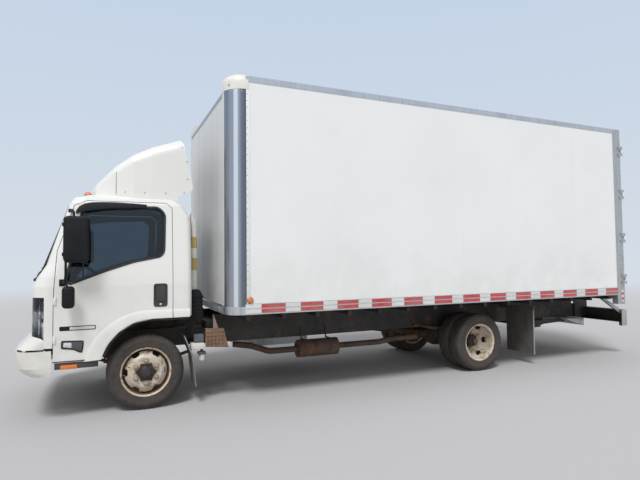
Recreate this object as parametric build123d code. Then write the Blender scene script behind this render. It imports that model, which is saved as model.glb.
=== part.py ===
from build123d import *
import math
import os

# Box truck, in millimetres.
# Stations along the truck are X from the front axle, forward positive. Y is left, Z is up from the ground.
# Every node is moved by ORIGIN_SHIFT at the end, so that the origin is at the middle of the footprint.

# driving dimensions
WHEELBASE = 4470
TYRE_RADIUS = 400
TYRE_WIDTH = 226
FRONT_WHEEL_Y = 832
REAR_WHEEL_Y = 825
DUAL_SPACING = 254
GAP = 6
NOSE_X = 1262
TAIL_X = -7430
ORIGIN_SHIFT = -(NOSE_X + TAIL_X) / 2

# frame
RAIL_OUT_Y = 430
RAIL_LOW = 580
RAIL_HIGH = 790
RAIL_FRONT = 980
RAIL_REAR = -7150
RAIL_PLATE = 8
RAIL_FLANGE = 65
SPRING_IN_Y = 434
SPRING_WIDTH = 62

# cab
CAB_BACK = -470
CAB_WALL = 60
CAB_FLOOR_Z = 950
PIVOT_X = 1020
PIVOT_Z = 800
DOOR_HINGE_X = 875
DOOR_HINGE_Y = 1035
DOOR_REAR = -260

# box
BOX_HALF = 1295
BOX_FRONT = -796
BOX_REAR = -7230
BOX_LOW = 989
BOX_TOP = 3653
BOX_EDGE_R = 210
BOX_WALL = 25
FLOOR_Z = 1065
RAIL_BAND_TOP = 1110
TOP_RAIL_LOW = 3586
REAR_FRAME_FRONT = -7060
REAR_DOOR_PIN_X = BOX_REAR - 17
REAR_DOOR_PIN_Y = BOX_HALF + 17

os.makedirs("parts", exist_ok=True)


def write(name, shape):
    """Move a node to the truck's own origin and write it."""
    solids = [Pos(ORIGIN_SHIFT, 0, 0) * solid for solid in shape.solids()]
    export_step(Compound(solids), f"parts/{name}.step")


def block(x0, x1, y0, y1, z0, z1):
    """A box between two corners."""
    centre = Pos((x0 + x1) / 2, (y0 + y1) / 2, (z0 + z1) / 2)
    return centre * Box(abs(x1 - x0), abs(y1 - y0), abs(z1 - z0))


def mirrored(shape):
    """The same piece on the right-hand side."""
    return mirror(shape, about=Plane.XZ)


def both_sides(shape):
    """The piece and its mirror image."""
    return Compound(shape.solids() + mirrored(shape).solids())


def side_plate(points, y0, y1, radius=0):
    """An outline in X and Z, as thick as y0 to y1."""
    outline = Polyline(*points, close=True) if not radius else FilletPolyline(*points, radius=radius, close=True)
    face = make_face(Plane.XZ * outline)
    return extrude(Pos(0, y0, 0) * face, amount=y1 - y0, dir=(0, 1, 0))


def plan_plate(points, z0, z1, radius=0):
    """An outline in X and Y, as high as z0 to z1."""
    outline = Polyline(*points, close=True) if not radius else FilletPolyline(*points, radius=radius, close=True)
    return extrude(Pos(0, 0, z0) * make_face(outline), amount=z1 - z0)


def end_plate(points, x0, x1, radius=0):
    """An outline in Y and Z, as thick as x0 to x1."""
    outline = Polyline(*points, close=True) if not radius else FilletPolyline(*points, radius=radius, close=True)
    face = make_face(Plane.YZ * outline)
    return extrude(Pos(x0, 0, 0) * face, amount=x1 - x0, dir=(1, 0, 0))


def rod(start, end, radius):
    """A round bar from one point to another."""
    line = Vector(*end) - Vector(*start)
    plane = Plane(origin=start, z_dir=line)
    return extrude(plane * Circle(radius), amount=line.length)


def pipe(points, radius, bend):
    """A round bar along straight runs with bends between them."""
    path = FilletPolyline(*points, radius=bend)
    start = Plane(origin=path @ 0, z_dir=path % 0)
    return sweep(start * Circle(radius), path=path)


def turned(profile, x, y, side=1):
    """A wheel part revolved about its axle; the profile is (radius, distance out from y)."""
    points = [(x + r, y + side * out) for r, out in profile]
    face = make_face(Polyline(*points, close=True))
    ring = revolve(face, axis=Axis((x, 0, 0), (0, 1, 0)))
    return Pos(0, 0, TYRE_RADIUS) * ring


# frame

def frame_rails():
    """Two channel rails with their open sides inwards."""
    web = block(RAIL_REAR, RAIL_FRONT, RAIL_OUT_Y - RAIL_PLATE, RAIL_OUT_Y, RAIL_LOW, RAIL_HIGH)
    inner = RAIL_OUT_Y - RAIL_FLANGE
    low = block(RAIL_REAR, RAIL_FRONT, inner, RAIL_OUT_Y, RAIL_LOW, RAIL_LOW + RAIL_PLATE)
    high = block(RAIL_REAR, RAIL_FRONT, inner, RAIL_OUT_Y, RAIL_HIGH - RAIL_PLATE, RAIL_HIGH)
    return both_sides(web + low + high)


def frame_crossmembers():
    """Channels between the webs, the rear plate with its bolt holes, and the cab's hinge tube."""
    reach = RAIL_OUT_Y - RAIL_PLATE
    low = RAIL_LOW + RAIL_PLATE
    high = RAIL_HIGH - RAIL_PLATE
    members = []
    shaft_way = rod((-1100, 0, 690), (-2790, 0, 634), 85) + rod((-2790, 0, 634), (-4200, 0, 430), 85)
    for x in (-1300, -2100, -3300, -3900, -5000, -6100):
        web = block(x, x + RAIL_PLATE, -reach, reach, low, high)
        flange = block(x, x + 60, -reach, reach, high - RAIL_PLATE, high)
        foot = block(x, x + 60, -reach, reach, low, low + RAIL_PLATE)
        members.append(web + flange + foot - shaft_way)
    plate = block(RAIL_REAR - 12, RAIL_REAR, -RAIL_OUT_Y, RAIL_OUT_Y, HITCH_LOW, RAIL_HIGH)
    for y in (-HITCH_Y / 2, HITCH_Y / 2):
        for z in (HITCH_Z - HITCH_RISE / 2, HITCH_Z + HITCH_RISE / 2):
            plate -= rod((RAIL_REAR - 20, y, z), (RAIL_REAR + 8, y, z), HITCH_HOLE_R)
    members.append(plate)
    tube = rod((PIVOT_X, -470, PIVOT_Z), (PIVOT_X, 470, PIVOT_Z), 22)
    for side in (-1, 1):
        outline = [(900, 640), (985, 600), (1040, 680), (1050, 800), (1020, 832), (985, 800), (900, 760)]
        plate_y = side * (RAIL_OUT_Y + 6)
        tube += side_plate(outline, plate_y - 6, plate_y + 6)
    members.append(tube)
    return Compound([solid for member in members for solid in member.solids()])


HITCH_LOW = 560
HITCH_Y = 500
HITCH_Z = 690
HITCH_RISE = 120
HITCH_HOLE_R = 9


def powertrain():
    """Engine block, gearbox and a two-piece driveshaft down to the rear axle."""
    engine = block(-380, 420, -330, 330, 470, 1150)
    box = rod((-380, 0, 690), (-1180, 0, 690), 170)
    front_shaft = rod((-1180, 0, 690), (-2700, 0, 640), 45)
    joint = rod((-2700, 0, 640), (-2790, 0, 634), 70)
    rear_shaft = rod((-2790, 0, 634), (-WHEELBASE + 352, 0, TYRE_RADIUS + 40), 45)
    return engine + box + front_shaft + joint + rear_shaft


# axles and springs

def front_axle():
    """A forged I-beam with a dropped middle and an eye at each end for the kingpin."""
    outline = [(-660, 360), (-610, 355), (-540, 290), (540, 290), (610, 355), (660, 360),
               (660, 440), (625, 440), (550, 370), (-550, 370), (-625, 440), (-660, 440)]
    beam = end_plate(outline, -40, 40)
    waist = [(-430, 308), (430, 308), (430, 352), (-430, 352)]
    beam -= end_plate(waist, -40, -14)
    beam -= end_plate(waist, 14, 40)
    for side in (-1, 1):
        y = side * KINGPIN_Y
        beam += rod((0, y, 355), (0, y, 445), 42)
        beam -= rod((0, y, 350), (0, y, 450), 17)
        beam += block(-70, 70, side * 465 - 40, side * 465 + 40, 360, 385)
    return beam


KINGPIN_Y = 690


def rear_axle():
    """A banjo housing with its round cover and two tubes out to the hubs."""
    x = -WHEELBASE
    z = TYRE_RADIUS
    bowl = Pos(x, 0, z) * Sphere(185)
    bowl &= block(x - 150, x + 160, -190, 190, z - 190, z + 190)
    nose = Pos(x, 0, z) * Cone(90, 60, 190, rotation=(0, 90, 0), align=(Align.CENTER, Align.CENTER, Align.MIN))
    nose = Pos(150, 0, 20) * nose
    tube = rod((x, -560, z), (x, 560, z), 62)
    spindle = rod((x, -960, z), (x, 960, z), 38)
    flanges = [rod((x, side * 552, z), (x, side * 562, z), 150) for side in (-1, 1)]
    pads = [block(x - 70, x + 70, side * 465 - 40, side * 465 + 40, z + 40, z + 88) for side in (-1, 1)]
    return bowl + nose + tube + spindle + flanges + pads


def leaf_springs():
    """A pack of curved leaves with a hanger at each end, at each end of both axles."""
    packs = []
    spring_out = SPRING_IN_Y + SPRING_WIDTH
    # axle station, half length, height of the seat, rise of the ends, leaf count
    springs = [(0, 620, 385, 120, 4), (-WHEELBASE, 700, TYRE_RADIUS + 88, 60, 6)]
    for x, half, seat, rise, leaves in springs:
        thick = 13
        pack = None
        for leaf in range(leaves):
            reach = half * (1 - 0.16 * leaf)
            lift = rise * (reach / half) ** 2
            base = seat + thick * (leaves - 1 - leaf)
            low = ThreePointArc((x - reach, base + lift), (x, base), (x + reach, base + lift))
            high = ThreePointArc((x + reach, base + lift + thick), (x, base + thick), (x - reach, base + lift + thick))
            edges = [low, Line(low @ 1, high @ 0), high, Line(high @ 1, low @ 0)]
            face = make_face([Plane.XZ * edge for edge in edges])
            piece = extrude(Pos(0, SPRING_IN_Y, 0) * face, amount=SPRING_WIDTH, dir=(0, 1, 0))
            pack = piece if pack is None else pack + piece
        for end in (-1, 1):
            eye_x = x + end * half
            eye_z = seat + thick * (leaves - 1) + rise + 6
            pack += rod((eye_x, RAIL_OUT_Y, eye_z), (eye_x, spring_out, eye_z), 26)
            pack += block(eye_x - 35, eye_x + 35, RAIL_OUT_Y, RAIL_OUT_Y + 10, eye_z - 30, 700)
        clamp = block(x - 60, x + 60, SPRING_IN_Y - 4, spring_out + 3, seat, seat + thick * leaves + 14)
        packs.append(both_sides(pack + clamp))
    return Compound([solid for pack in packs for solid in pack.solids()])


# wheels

RIM_R = 262
RIM_INNER_R = 228
HUB_BORE_R = 40


def rim_profile(disc_out, hub_in, hub_out):
    """Half section of a pressed steel wheel: barrel, disc and hub; (radius, distance out)."""
    half = TYRE_WIDTH / 2 - 14
    return [(RIM_R, -half), (RIM_R - 16, -half + 12), (RIM_R - 16, half - 12), (RIM_R, half), (RIM_R - 24, half),
            (RIM_INNER_R, half - 26), (RIM_INNER_R - 6, disc_out + 6), (RIM_INNER_R - 46, disc_out + 14),
            (150, disc_out), (88, disc_out), (84, hub_out), (HUB_BORE_R, hub_out),
            (HUB_BORE_R, hub_in), (84, hub_in), (88, disc_out - 12), (150, disc_out - 12),
            (RIM_INNER_R - 50, disc_out + 2), (RIM_INNER_R - 10, disc_out - 8), (RIM_INNER_R - 2, -half + 20)]


def tyre_profile():
    """Half section of a road tyre from bead to bead; (radius, distance out)."""
    half = TYRE_WIDTH / 2
    bead = TYRE_WIDTH / 2 - 26
    return [(RIM_R - 16, -bead), (RIM_R + 10, -half + 12), (RIM_R + 62, -half), (TYRE_RADIUS - 36, -half + 8),
            (TYRE_RADIUS - 5, -half + 30), (TYRE_RADIUS, 0), (TYRE_RADIUS - 5, half - 30),
            (TYRE_RADIUS - 36, half - 8), (RIM_R + 62, half), (RIM_R + 10, half - 12), (RIM_R - 16, bead)]


def hand_holes(ring, x, y, side, disc_out):
    """Six holes through the disc, and the bores are on the hub alone."""
    for turn in range(6):
        angle = math.radians(60 * turn)
        px = x + 185 * math.cos(angle)
        pz = TYRE_RADIUS + 185 * math.sin(angle)
        start = (px, y + side * (disc_out - 40), pz)
        ring -= rod(start, (px, y + side * (disc_out + 40), pz), 24)
    return ring


def lug_studs(x, y, side, disc_out):
    """Six studs with their nuts around the hub."""
    studs = None
    for turn in range(6):
        angle = math.radians(30 + 60 * turn)
        px = x + 111 * math.cos(angle)
        pz = TYRE_RADIUS + 111 * math.sin(angle)
        nut = rod((px, y + side * (disc_out - 4), pz), (px, y + side * (disc_out + 26), pz), 17)
        studs = nut if studs is None else studs + nut
    return studs


def front_wheel(side):
    """A single wheel whose disc is near its outer face, and its tyre."""
    y = side * FRONT_WHEEL_Y
    profile = rim_profile(48, -30, 98)
    ring = turned(profile, 0, y, side)
    ring = hand_holes(ring, 0, y, side, 48)
    ring += lug_studs(0, y, side, 48)
    cap = rod((0, y + side * 92, TYRE_RADIUS), (0, y + side * 118, TYRE_RADIUS), 62)
    ring += cap
    tyre = turned(tyre_profile(), 0, y, side)
    return ring, tyre - turned(profile, 0, y, side)


def rear_wheels(side):
    """Twin wheels on one hub: the outer disc is dished in, the inner one faces it."""
    x = -WHEELBASE
    inner_y = side * (REAR_WHEEL_Y - DUAL_SPACING / 2)
    outer_y = side * (REAR_WHEEL_Y + DUAL_SPACING / 2)
    profile = rim_profile(DUAL_SPACING / 2 - 2, 40, DUAL_SPACING / 2 - 2 + 8)
    inner = turned(profile, x, inner_y, side)
    inner = hand_holes(inner, x, inner_y, side, DUAL_SPACING / 2)
    outer = turned(profile, x, outer_y, -side)
    outer = hand_holes(outer, x, outer_y, -side, DUAL_SPACING / 2)
    disc_y = side * REAR_WHEEL_Y
    hub = rod((x, disc_y - side * 20, TYRE_RADIUS), (x, disc_y + side * 160, TYRE_RADIUS), 84)
    hub -= rod((x, disc_y - side * 30, TYRE_RADIUS), (x, disc_y + side * 148, TYRE_RADIUS), HUB_BORE_R)
    rims = inner + outer + hub + lug_studs(x, disc_y, side, 12)
    tyres = []
    for y, facing in ((inner_y, side), (outer_y, -side)):
        tyres.append(turned(tyre_profile(), x, y, facing) - turned(profile, x, y, facing))
    return rims, Compound([solid for tyre in tyres for solid in tyre.solids()])


def knuckle():
    """Left steering knuckle: a yoke round the axle's eye, the kingpin, and the spindle."""
    y = KINGPIN_Y
    z = TYRE_RADIUS
    pin = rod((0, y, z - 85), (0, y, z + 85), 16)
    ears = block(-36, 36, y - 36, y + 66, z + 52, z + 80) + block(-36, 36, y - 36, y + 66, z - 80, z - 52)
    back = block(-36, 36, y + 50, y + 70, z - 80, z + 80)
    spindle = rod((0, y + 60, z), (0, y + 228, z), 36)
    arm = side_plate([(-30, z - 78), (-30, z - 52), (-190, z - 52), (-190, z - 78)], y - 30, y + 12)
    return pin + ears + back + spindle + arm


# chassis fittings

def exhaust():
    """Silencer can beside the left rail, with its pipes."""
    can = rod((-1880, 560, 440), (-2440, 560, 440), 112)
    inlet = pipe([(-1881, 560, 440), (-1500, 560, 440), (-1300, 400, 500), (-1100, 300, 520)], 38, 90)
    outlet = pipe([(-2439, 560, 440), (-3100, 560, 440), (-3350, 560, 470), (-3720, 560, 470)], 38, 90)
    hangers = [block(x - 6, x + 6, 430, 450, 540, 700) + block(x - 6, x + 6, 440, 570, 540, 556)
               for x in (-1980, -2340)]
    return can + inlet + outlet + hangers


def fuel_tank():
    """A rounded tank on the right rail, with its brackets, filler and cap."""
    tank = side_plate([(-1350, 330), (-2450, 330), (-2450, 700), (-1350, 700)], -1010, -500, 60)
    for x in (-1550, -2250):
        tank += block(x - 25, x + 25, -505, -430, 560, 740)
    tank += rod((-1500, -940, 640), (-1440, -1060, 730), 35)
    tank += rod((-1440, -1060, 730), (-1425, -1090, 752), 48)
    return tank


def air_intake():
    """Tall flat intake duct behind the cab, banded, down to the air cleaner box."""
    duct = plan_plate([(-492, 740), (-492, 860), (-560, 860), (-560, 740)], 1262, 2060, 24)
    cap = plan_plate([(-486, 730), (-486, 870), (-568, 870), (-568, 730)], 2060, 2095, 24)
    for z in (1484, 1737):
        duct += plan_plate([(-489, 736), (-489, 864), (-564, 864), (-564, 736)], z, z + 130, 24)
    cleaner = side_plate([(-490, 1068), (-620, 1068), (-620, 1262), (-490, 1262)], 620, 900, 20)
    foot = block(-600, -500, 430, 640, 1000, 1072)
    post = block(-600, -500, 430, 442, 700, 1000)
    return duct + cap + cleaner + foot + post


def side_shield():
    """Plate with a triangular gusset that shields what hangs on the rail, and the filter beside it."""
    plate = side_plate([(-615, 600), (-800, 600), (-800, 840), (-700, 1010), (-640, 840), (-615, 840)], 930, 938)
    shelf = block(-800, -615, 430, 936, 832, 840)
    post = block(-760, -660, 430, 440, 700, 836)
    lid = block(-640, -800, 600, 900, 840, 900)
    return plate + shelf + post + lid


def mud_guards():
    """Guards behind the front wheels and flaps behind the rear ones, each with its bracket."""
    guard = side_plate([(-389, 757), (-471, 541), (-513, 200), (-525, 200), (-483, 545), (-401, 762)], 700, 1000)
    arm = rod((-455, 430, 640), (-455, 720, 640), 14)
    flap = block(-5445, -5455, 560, 1100, 150, 860)
    hanger = block(-5455, -5475, 430, 1100, 800, 860)
    return Compound(both_sides(guard + arm).solids() + both_sides(flap + hanger).solids())


def front_bumper():
    """A hollow pressed bumper that wraps to the wheel arches, open at the top and back."""
    # height, front at the centre, half width
    sections = [(458, 1150, 1030), (500, 1205, 1038), (547, 1245, 1044), (640, 1258, 1046), (712, NOSE_X, 1046)]
    outer = nose_loft(sections, 895, 60, 200)
    open_top = (sections[-1][0] + 20, *sections[-1][1:])
    open_low = (sections[0][0] - 20, *sections[0][1:])
    hollow = [open_low, *sections, open_top]
    inner = nose_loft([(z, x - 9, w - 9) for z, x, w in hollow], 700, 60, 191)
    shell = outer - inner
    for side in (-1, 1):
        arm_y = side * (RAIL_OUT_Y - 30)
        shell += block(920, 1240, arm_y - 20, arm_y + 20, 530, RAIL_LOW)
        lamp = rod((1100, side * 720, 610), (1300, side * 720, 610), 55)
        shell -= lamp
    shell -= block(1150, 1300, -260, 260, 560, 650)
    return shell


def plan_outline(front, back, half, bulge, corner, back_corner=0):
    """Plan of a cab or bumper: bowed front, round front corners, straight sides and back."""
    bow_r = (half ** 2 + bulge ** 2) / (2 * bulge)
    bow = Vector(front - bow_r, 0)
    centre_y = half - corner
    centre = Vector(bow.X + math.sqrt((bow_r - corner) ** 2 - centre_y ** 2), centre_y)
    outward = (centre - bow).normalized()
    touch = bow + outward * bow_r
    middle = centre + (outward + Vector(0, 1)).normalized() * corner
    flank = back + back_corner
    knee = back_corner * (1 - math.sqrt(0.5))
    edges = [
        ThreePointArc((touch.X, -touch.Y), (front, 0), touch),
        ThreePointArc(touch, middle, (centre.X, half)),
        Line((centre.X, half), (flank, half)),
    ]
    if back_corner:
        edges.append(ThreePointArc((flank, half), (back + knee, half - knee), (back, half - back_corner)))
    edges.append(Line((back, half - back_corner), (back, back_corner - half)))
    if back_corner:
        edges.append(ThreePointArc((back, back_corner - half), (back + knee, knee - half), (flank, -half)))
    edges.append(Line((flank, -half), (centre.X, -half)))
    edges.append(ThreePointArc((centre.X, -half), (middle.X, -middle.Y), (touch.X, -touch.Y)))
    return make_face(edges)


def nose_loft(sections, back, bulge, corner):
    """Loft of plan outlines from a table of height, front at the centre and half width."""
    return loft([Pos(0, 0, z) * plan_outline(front, back, half, bulge, corner) for z, front, half in sections],
                ruled=True)


# cab

# height, front at the centre, half width, corner radius, back
CAB_SECTIONS = [
    (560, 1120, 1030, 190, CAB_BACK),
    (1340, 1115, 1030, 190, CAB_BACK),
    (1440, 1075, 1022, 180, CAB_BACK),
    (1560, 1000, 1010, 170, CAB_BACK),
    (1990, 868, 955, 140, CAB_BACK),
    (2080, 835, 944, 130, -460),
    (2200, 795, 928, 120, -390),
    (2262, 760, 902, 110, -310),
    (2304, 655, 800, 100, -200),
]
CAB_BULGE = 50
ROOF_SHARE = 0.36


def cab_body(inset, low=0):
    """The cab's solid form, drawn in on every side by an inset and lengthened downwards."""
    faces = []
    for z, front, half, corner, back in CAB_SECTIONS:
        radius = max(corner - inset, 30)
        face = plan_outline(front - inset, back + inset, half - inset, CAB_BULGE, radius, max(65 - inset, 20))
        drop = inset * ROOF_SHARE if z > 2250 else low if z < 600 else 0
        faces.append(Pos(0, 0, z - drop) * face)
    return loft(faces, ruled=True)


DOOR_OUTLINE = [(DOOR_REAR, 975), (DOOR_REAR, 2168), (-200, 2226), (590, 2224), (706, 2172), (856, 1700),
                (880, 1250), (880, 588), (452, 588), (392, 725), (282, 852), (134, 942), (-56, 975)]
WINDOW_OUTLINE = [(633, 2118), (326, 2160), (-115, 2176), (-185, 2105), (-172, 1690), (-137, 1640),
                  (135, 1586), (395, 1499), (609, 1415), (739, 1364), (774, 1399)]
SCREEN_OUTLINE = [(-880, 1440), (880, 1440), (800, 2170), (-800, 2170)]
REAR_SCREEN_OUTLINE = [(-560, 1560), (560, 1560), (540, 1950), (-540, 1950)]
ARCH_CUT = [(-700, 400), (-700, 988), (-58, 988), (134, 954), (290, 862), (402, 730), (462, 560), (462, 400)]


def door_zone(gap, y0=955):
    """The space of both doors, grown by a gap."""
    face = make_face(Plane.XZ * Polyline(*DOOR_OUTLINE, close=True))
    if gap:
        face = offset(face, amount=gap, kind=Kind.INTERSECTION)
    plate = extrude(Pos(0, 800, 0) * face, amount=400, dir=(0, 1, 0))
    return plate, mirrored(plate)


def headlamp_zone():
    """The corner space that the left stacked lamp fills."""
    return block(965, 1300, 640, 1200, 765, 1236)


def build_cab():
    """Everything cut from one hollow cab form: shell, panels, lamps, doors and glass."""
    outer = cab_body(0)
    inner = cab_body(CAB_WALL, low=80)
    hollow = outer - inner
    screen = end_plate(SCREEN_OUTLINE, 560, 1300, 60)
    rear_screen = end_plate(REAR_SCREEN_OUTLINE, CAB_BACK - 60, CAB_BACK + 100, 60)
    lamp = headlamp_zone()
    lamps = [lamp, mirrored(lamp)]
    panel_zone = block(990, 1300, -640, 640, 860, 1400)
    front_low = block(886, 1300, -1100, 1100, 400, 735)
    nose_low = block(1000, 1300, -640, 640, 400, 860)
    arches = side_plate(ARCH_CUT, -1200, 1200)
    sill_low = block(-700, 890, -1200, 1200, 400, 596)
    left_door, right_door = door_zone(0)
    left_gap, right_gap = door_zone(GAP)
    shell = hollow - screen - rear_screen - lamps - panel_zone - front_low - nose_low
    shell = shell - arches - sill_low - left_gap - right_gap
    glass_skin = cab_body(12, low=80) - cab_body(18, low=80)
    windscreen = glass_skin & screen
    rear_window = glass_skin & rear_screen
    headlamps = [hollow & zone for zone in lamps]
    panel = (hollow & block(990, 1300, -636, 636, 864, 1396)) - screen
    for z in range(900, 1200, 60):
        slot = block(1000, 1300, -420, 420, z, z + 28)
        panel -= slot
    door = hollow & left_door
    window = side_plate(WINDOW_OUTLINE, 800, 1200, 40)
    glass = (cab_body(26, low=80) - cab_body(32, low=80)) & window
    door -= window
    return shell, windscreen, rear_window, headlamps, panel, door, glass


def front_valance():
    """Sloping shelf under the front panel, down to the bumper's top edge."""
    sections = [(726, 1246, 1016), (850, 1126, 1020)]
    outer = nose_loft(sections, 820, 55, 190)
    inner = nose_loft([(726 - 1, 1232, 1002), (836, 1112, 1006)], 800, 55, 176)
    return outer - inner - cab_body(0)


def cab_floor():
    """Floor, toe board and step wells pressed from one sheet, with the engine tunnel between the seats."""
    top = [(-409, 1060), (360, 1060), (470, CAB_FLOOR_Z), (960, CAB_FLOOR_Z), (1040, 1120)]
    low = [(1066, 1108), (974, CAB_FLOOR_Z - 25), (458, CAB_FLOOR_Z - 25), (348, 1035), (-409, 1035)]
    band = side_plate(top + low, -1000, 1000)
    band -= block(-500, 560, -400, 400, 900, 1200)
    tunnel = block(-409, 600, -425, 425, 900, 1262) - block(-500, 575, -400, 400, 800, 1240)
    wells = []
    for side in (-1, 1):
        tread = block(470, 870, side * 800, side * 1010, 578, 600)
        riser = block(470, 870, side * 790, side * 812, 578, CAB_FLOOR_Z - 20)
        end = block(462, 484, side * 790, side * 1010, 578, CAB_FLOOR_Z - 20)
        lip = block(462, 872, side * 990, side * 1012, 520, 600)
        band -= block(484, 870, side * 812, side * 1020, 900, 1000)
        wells.append(tread + riser + end + lip)
    floor = band + tunnel + wells
    floor &= cab_body(CAB_WALL, low=80)
    saddle = side_plate([(930, 940), (985, 800), (1020, 764), (1046, 800), (1020, 940)], 448, 468)
    saddle -= rod((PIVOT_X, 440, PIVOT_Z), (PIVOT_X, 480, PIVOT_Z), 24)
    left_gap, right_gap = door_zone(GAP)
    return floor + both_sides(saddle) - left_gap - right_gap


def build_fairing():
    """Hollow roof fairing, open behind, seated on the roof."""
    # station, half width, top, corner radius
    sections = [(604, 480, 2330, 20), (513, 660, 2440, 60), (327, 815, 2632, 100), (134, 862, 2780, 130),
                (-65, 878, 2882, 140), (-330, 885, 2976, 150), (-520, 885, 3030, 150)]

    def body(inset, low):
        faces = []
        for x, half, top, corner in sections:
            w = half - inset
            points = [(-w, low), (w, low), (w - 20, top - inset), (-w + 20, top - inset)]
            face = make_face(Plane.YZ * Polyline(*points, close=True))
            high = face.vertices().sort_by(Axis.Z)[-2:]
            faces.append(Pos(x - (inset if x > 500 else 0), 0, 0) * fillet(high, corner))
        return loft(faces, ruled=True)

    shell = body(0, 2264) - body(10, 2200)
    tail = [(-366, 3100), (-366, 2989), (-409, 2894), (-496, 2436), (-491, 2392), (-326, 2292), (-326, 2200),
            (-700, 2200), (-700, 3100)]
    shell -= side_plate(tail, -1100, 1100)
    shell -= cab_body(0)
    return shell


def dashboard():
    """Dashboard under the windscreen, with the steering column and wheel."""
    outline = [(1055, 1135), (960, 1135), (880, 1190), (770, 1240), (760, 1330), (800, 1390), (980, 1420), (1055, 1400)]
    body = side_plate(outline, -900, 900) & cab_body(CAB_WALL, low=80)
    column = rod((880, 500, 1240), (640, 500, 1560), 32)
    axis = Vector(-240, 0, 320).normalized()
    hub = Plane(origin=(640, 500, 1560), z_dir=axis)
    rim = hub * Torus(205, 15)
    spokes = [hub * Rot(0, 0, 90 + 120 * turn) * Pos(100, 0, 0) * Box(200, 26, 12) for turn in range(3)]
    boss = hub * Cylinder(55, 40)
    return body + column + rim + boss + spokes


def seats():
    """Driver's seat and a double passenger seat on their boxes."""
    out = []
    for low_y, y1 in ((-850, -60), (270, 770)):
        base = block(-280, 220, low_y + 40, y1 - 40, 1264, 1300)
        cushion = fillet(block(-300, 260, low_y, y1, 1300, 1430).edges(), 35)
        outline = [(-300, 1400), (-170, 1400), (-270, 1960), (-370, 1960)]
        back = side_plate(outline, low_y, y1, 30)
        out.append(base + cushion + back)
    return Compound([solid for seat in out for solid in seat.solids()])


# doors and mirrors

def mirror_arm():
    """Left mirror: a looped tube from the door to a tall head, with a round-cornered wide-angle head below."""
    head = side_plate([(560, 1580), (790, 1580), (790, 2037), (560, 2037)], 1150, 1250, 30)
    low = side_plate([(690, 1140), (800, 1140), (800, 1345), (690, 1345)], 1130, 1200, 25)
    path = [(790, 1026, 1290), (790, 1170, 1290), (790, 1170, 2100), (770, 985, 2100)]
    stay = pipe([(800, 1020, 1380), (770, 1175, 1400), (770, 1200, 1560), (770, 1200, 1800)], 11, 30)
    foot = block(780, 830, 1018, 1034, 1350, 1410)
    drop = rod((775, 1165, 1400), (745, 1165, 1340), 9)
    top = pipe([(700, 1200, 2000), (700, 1200, 2080), (740, 955, 2110)], 11, 30)
    return head + low + stay + foot + drop + top


# box

def box_subframe():
    """Two long sills on the rails and the cross sills under the floor."""
    frame = None
    for side in (-1, 1):
        sill = block(BOX_FRONT - 20, REAR_FRAME_FRONT, side * 360, side * RAIL_OUT_Y, RAIL_HIGH, 925)
        frame = sill if frame is None else frame + sill
    for number in range(15):
        x = BOX_FRONT - 245 - number * 420
        frame += block(x - 22, x + 22, -BOX_HALF + 45, BOX_HALF - 45, 925, 1030)
    return frame


def box_floor():
    """Floor boards over the cross sills."""
    front = BOX_FRONT - 40
    half = BOX_HALF - 45
    outline = [(REAR_FRAME_FRONT, -half), (front, -half), (front, half), (REAR_FRAME_FRONT, half)]
    return plan_plate(outline, 1030, FLOOR_Z, (0, 165, 165, 0))


def box_side_wall():
    """Left wall panel between the corner post and the rear frame."""
    front = BOX_FRONT - BOX_EDGE_R
    return block(REAR_FRAME_FRONT, front, BOX_HALF - 5 - BOX_WALL, BOX_HALF - 5, RAIL_BAND_TOP, TOP_RAIL_LOW)


def box_front_wall():
    """Front panel between the corner posts."""
    half = BOX_HALF - BOX_EDGE_R
    return block(BOX_FRONT - BOX_WALL, BOX_FRONT, -half, half, BOX_LOW + 90, BOX_TOP - BOX_EDGE_R)


def box_roof():
    """Roof panel between the top rails."""
    front = BOX_FRONT - BOX_EDGE_R
    return block(REAR_FRAME_FRONT, front, -BOX_HALF + 40, BOX_HALF - 40, BOX_TOP - BOX_WALL, BOX_TOP)


def box_corner_posts():
    """Round corner posts, the round front edge of the roof, and ball corners where they meet."""
    r = BOX_EDGE_R
    cx = BOX_FRONT - r
    cy = BOX_HALF - r
    cz = BOX_TOP - r
    ring = Circle(r) - Circle(r - 20)
    quarter = ring & (Pos(r / 2, r / 2) * Rectangle(r, r))
    post = extrude(Pos(cx, cy, BOX_LOW + 90) * quarter, amount=cz - BOX_LOW - 90)
    flap_side = block(cx - 30, cx, BOX_HALF - 5, BOX_HALF, BOX_LOW + 90, BOX_TOP - 60)
    ball = Pos(cx, cy, cz) * (Sphere(r) - Sphere(r - 20))
    ball &= block(cx, cx + r, cy, cy + r, cz, cz + r)
    edge_ring = Plane.XZ * (Circle(r) - Circle(r - 20))
    edge = extrude(Pos(cx, 0, cz) * edge_ring, amount=cy, both=True)
    edge &= block(cx, cx + r, -cy, cy, cz, cz + r)
    return edge + post + ball + mirrored(post) + mirrored(ball)


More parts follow.
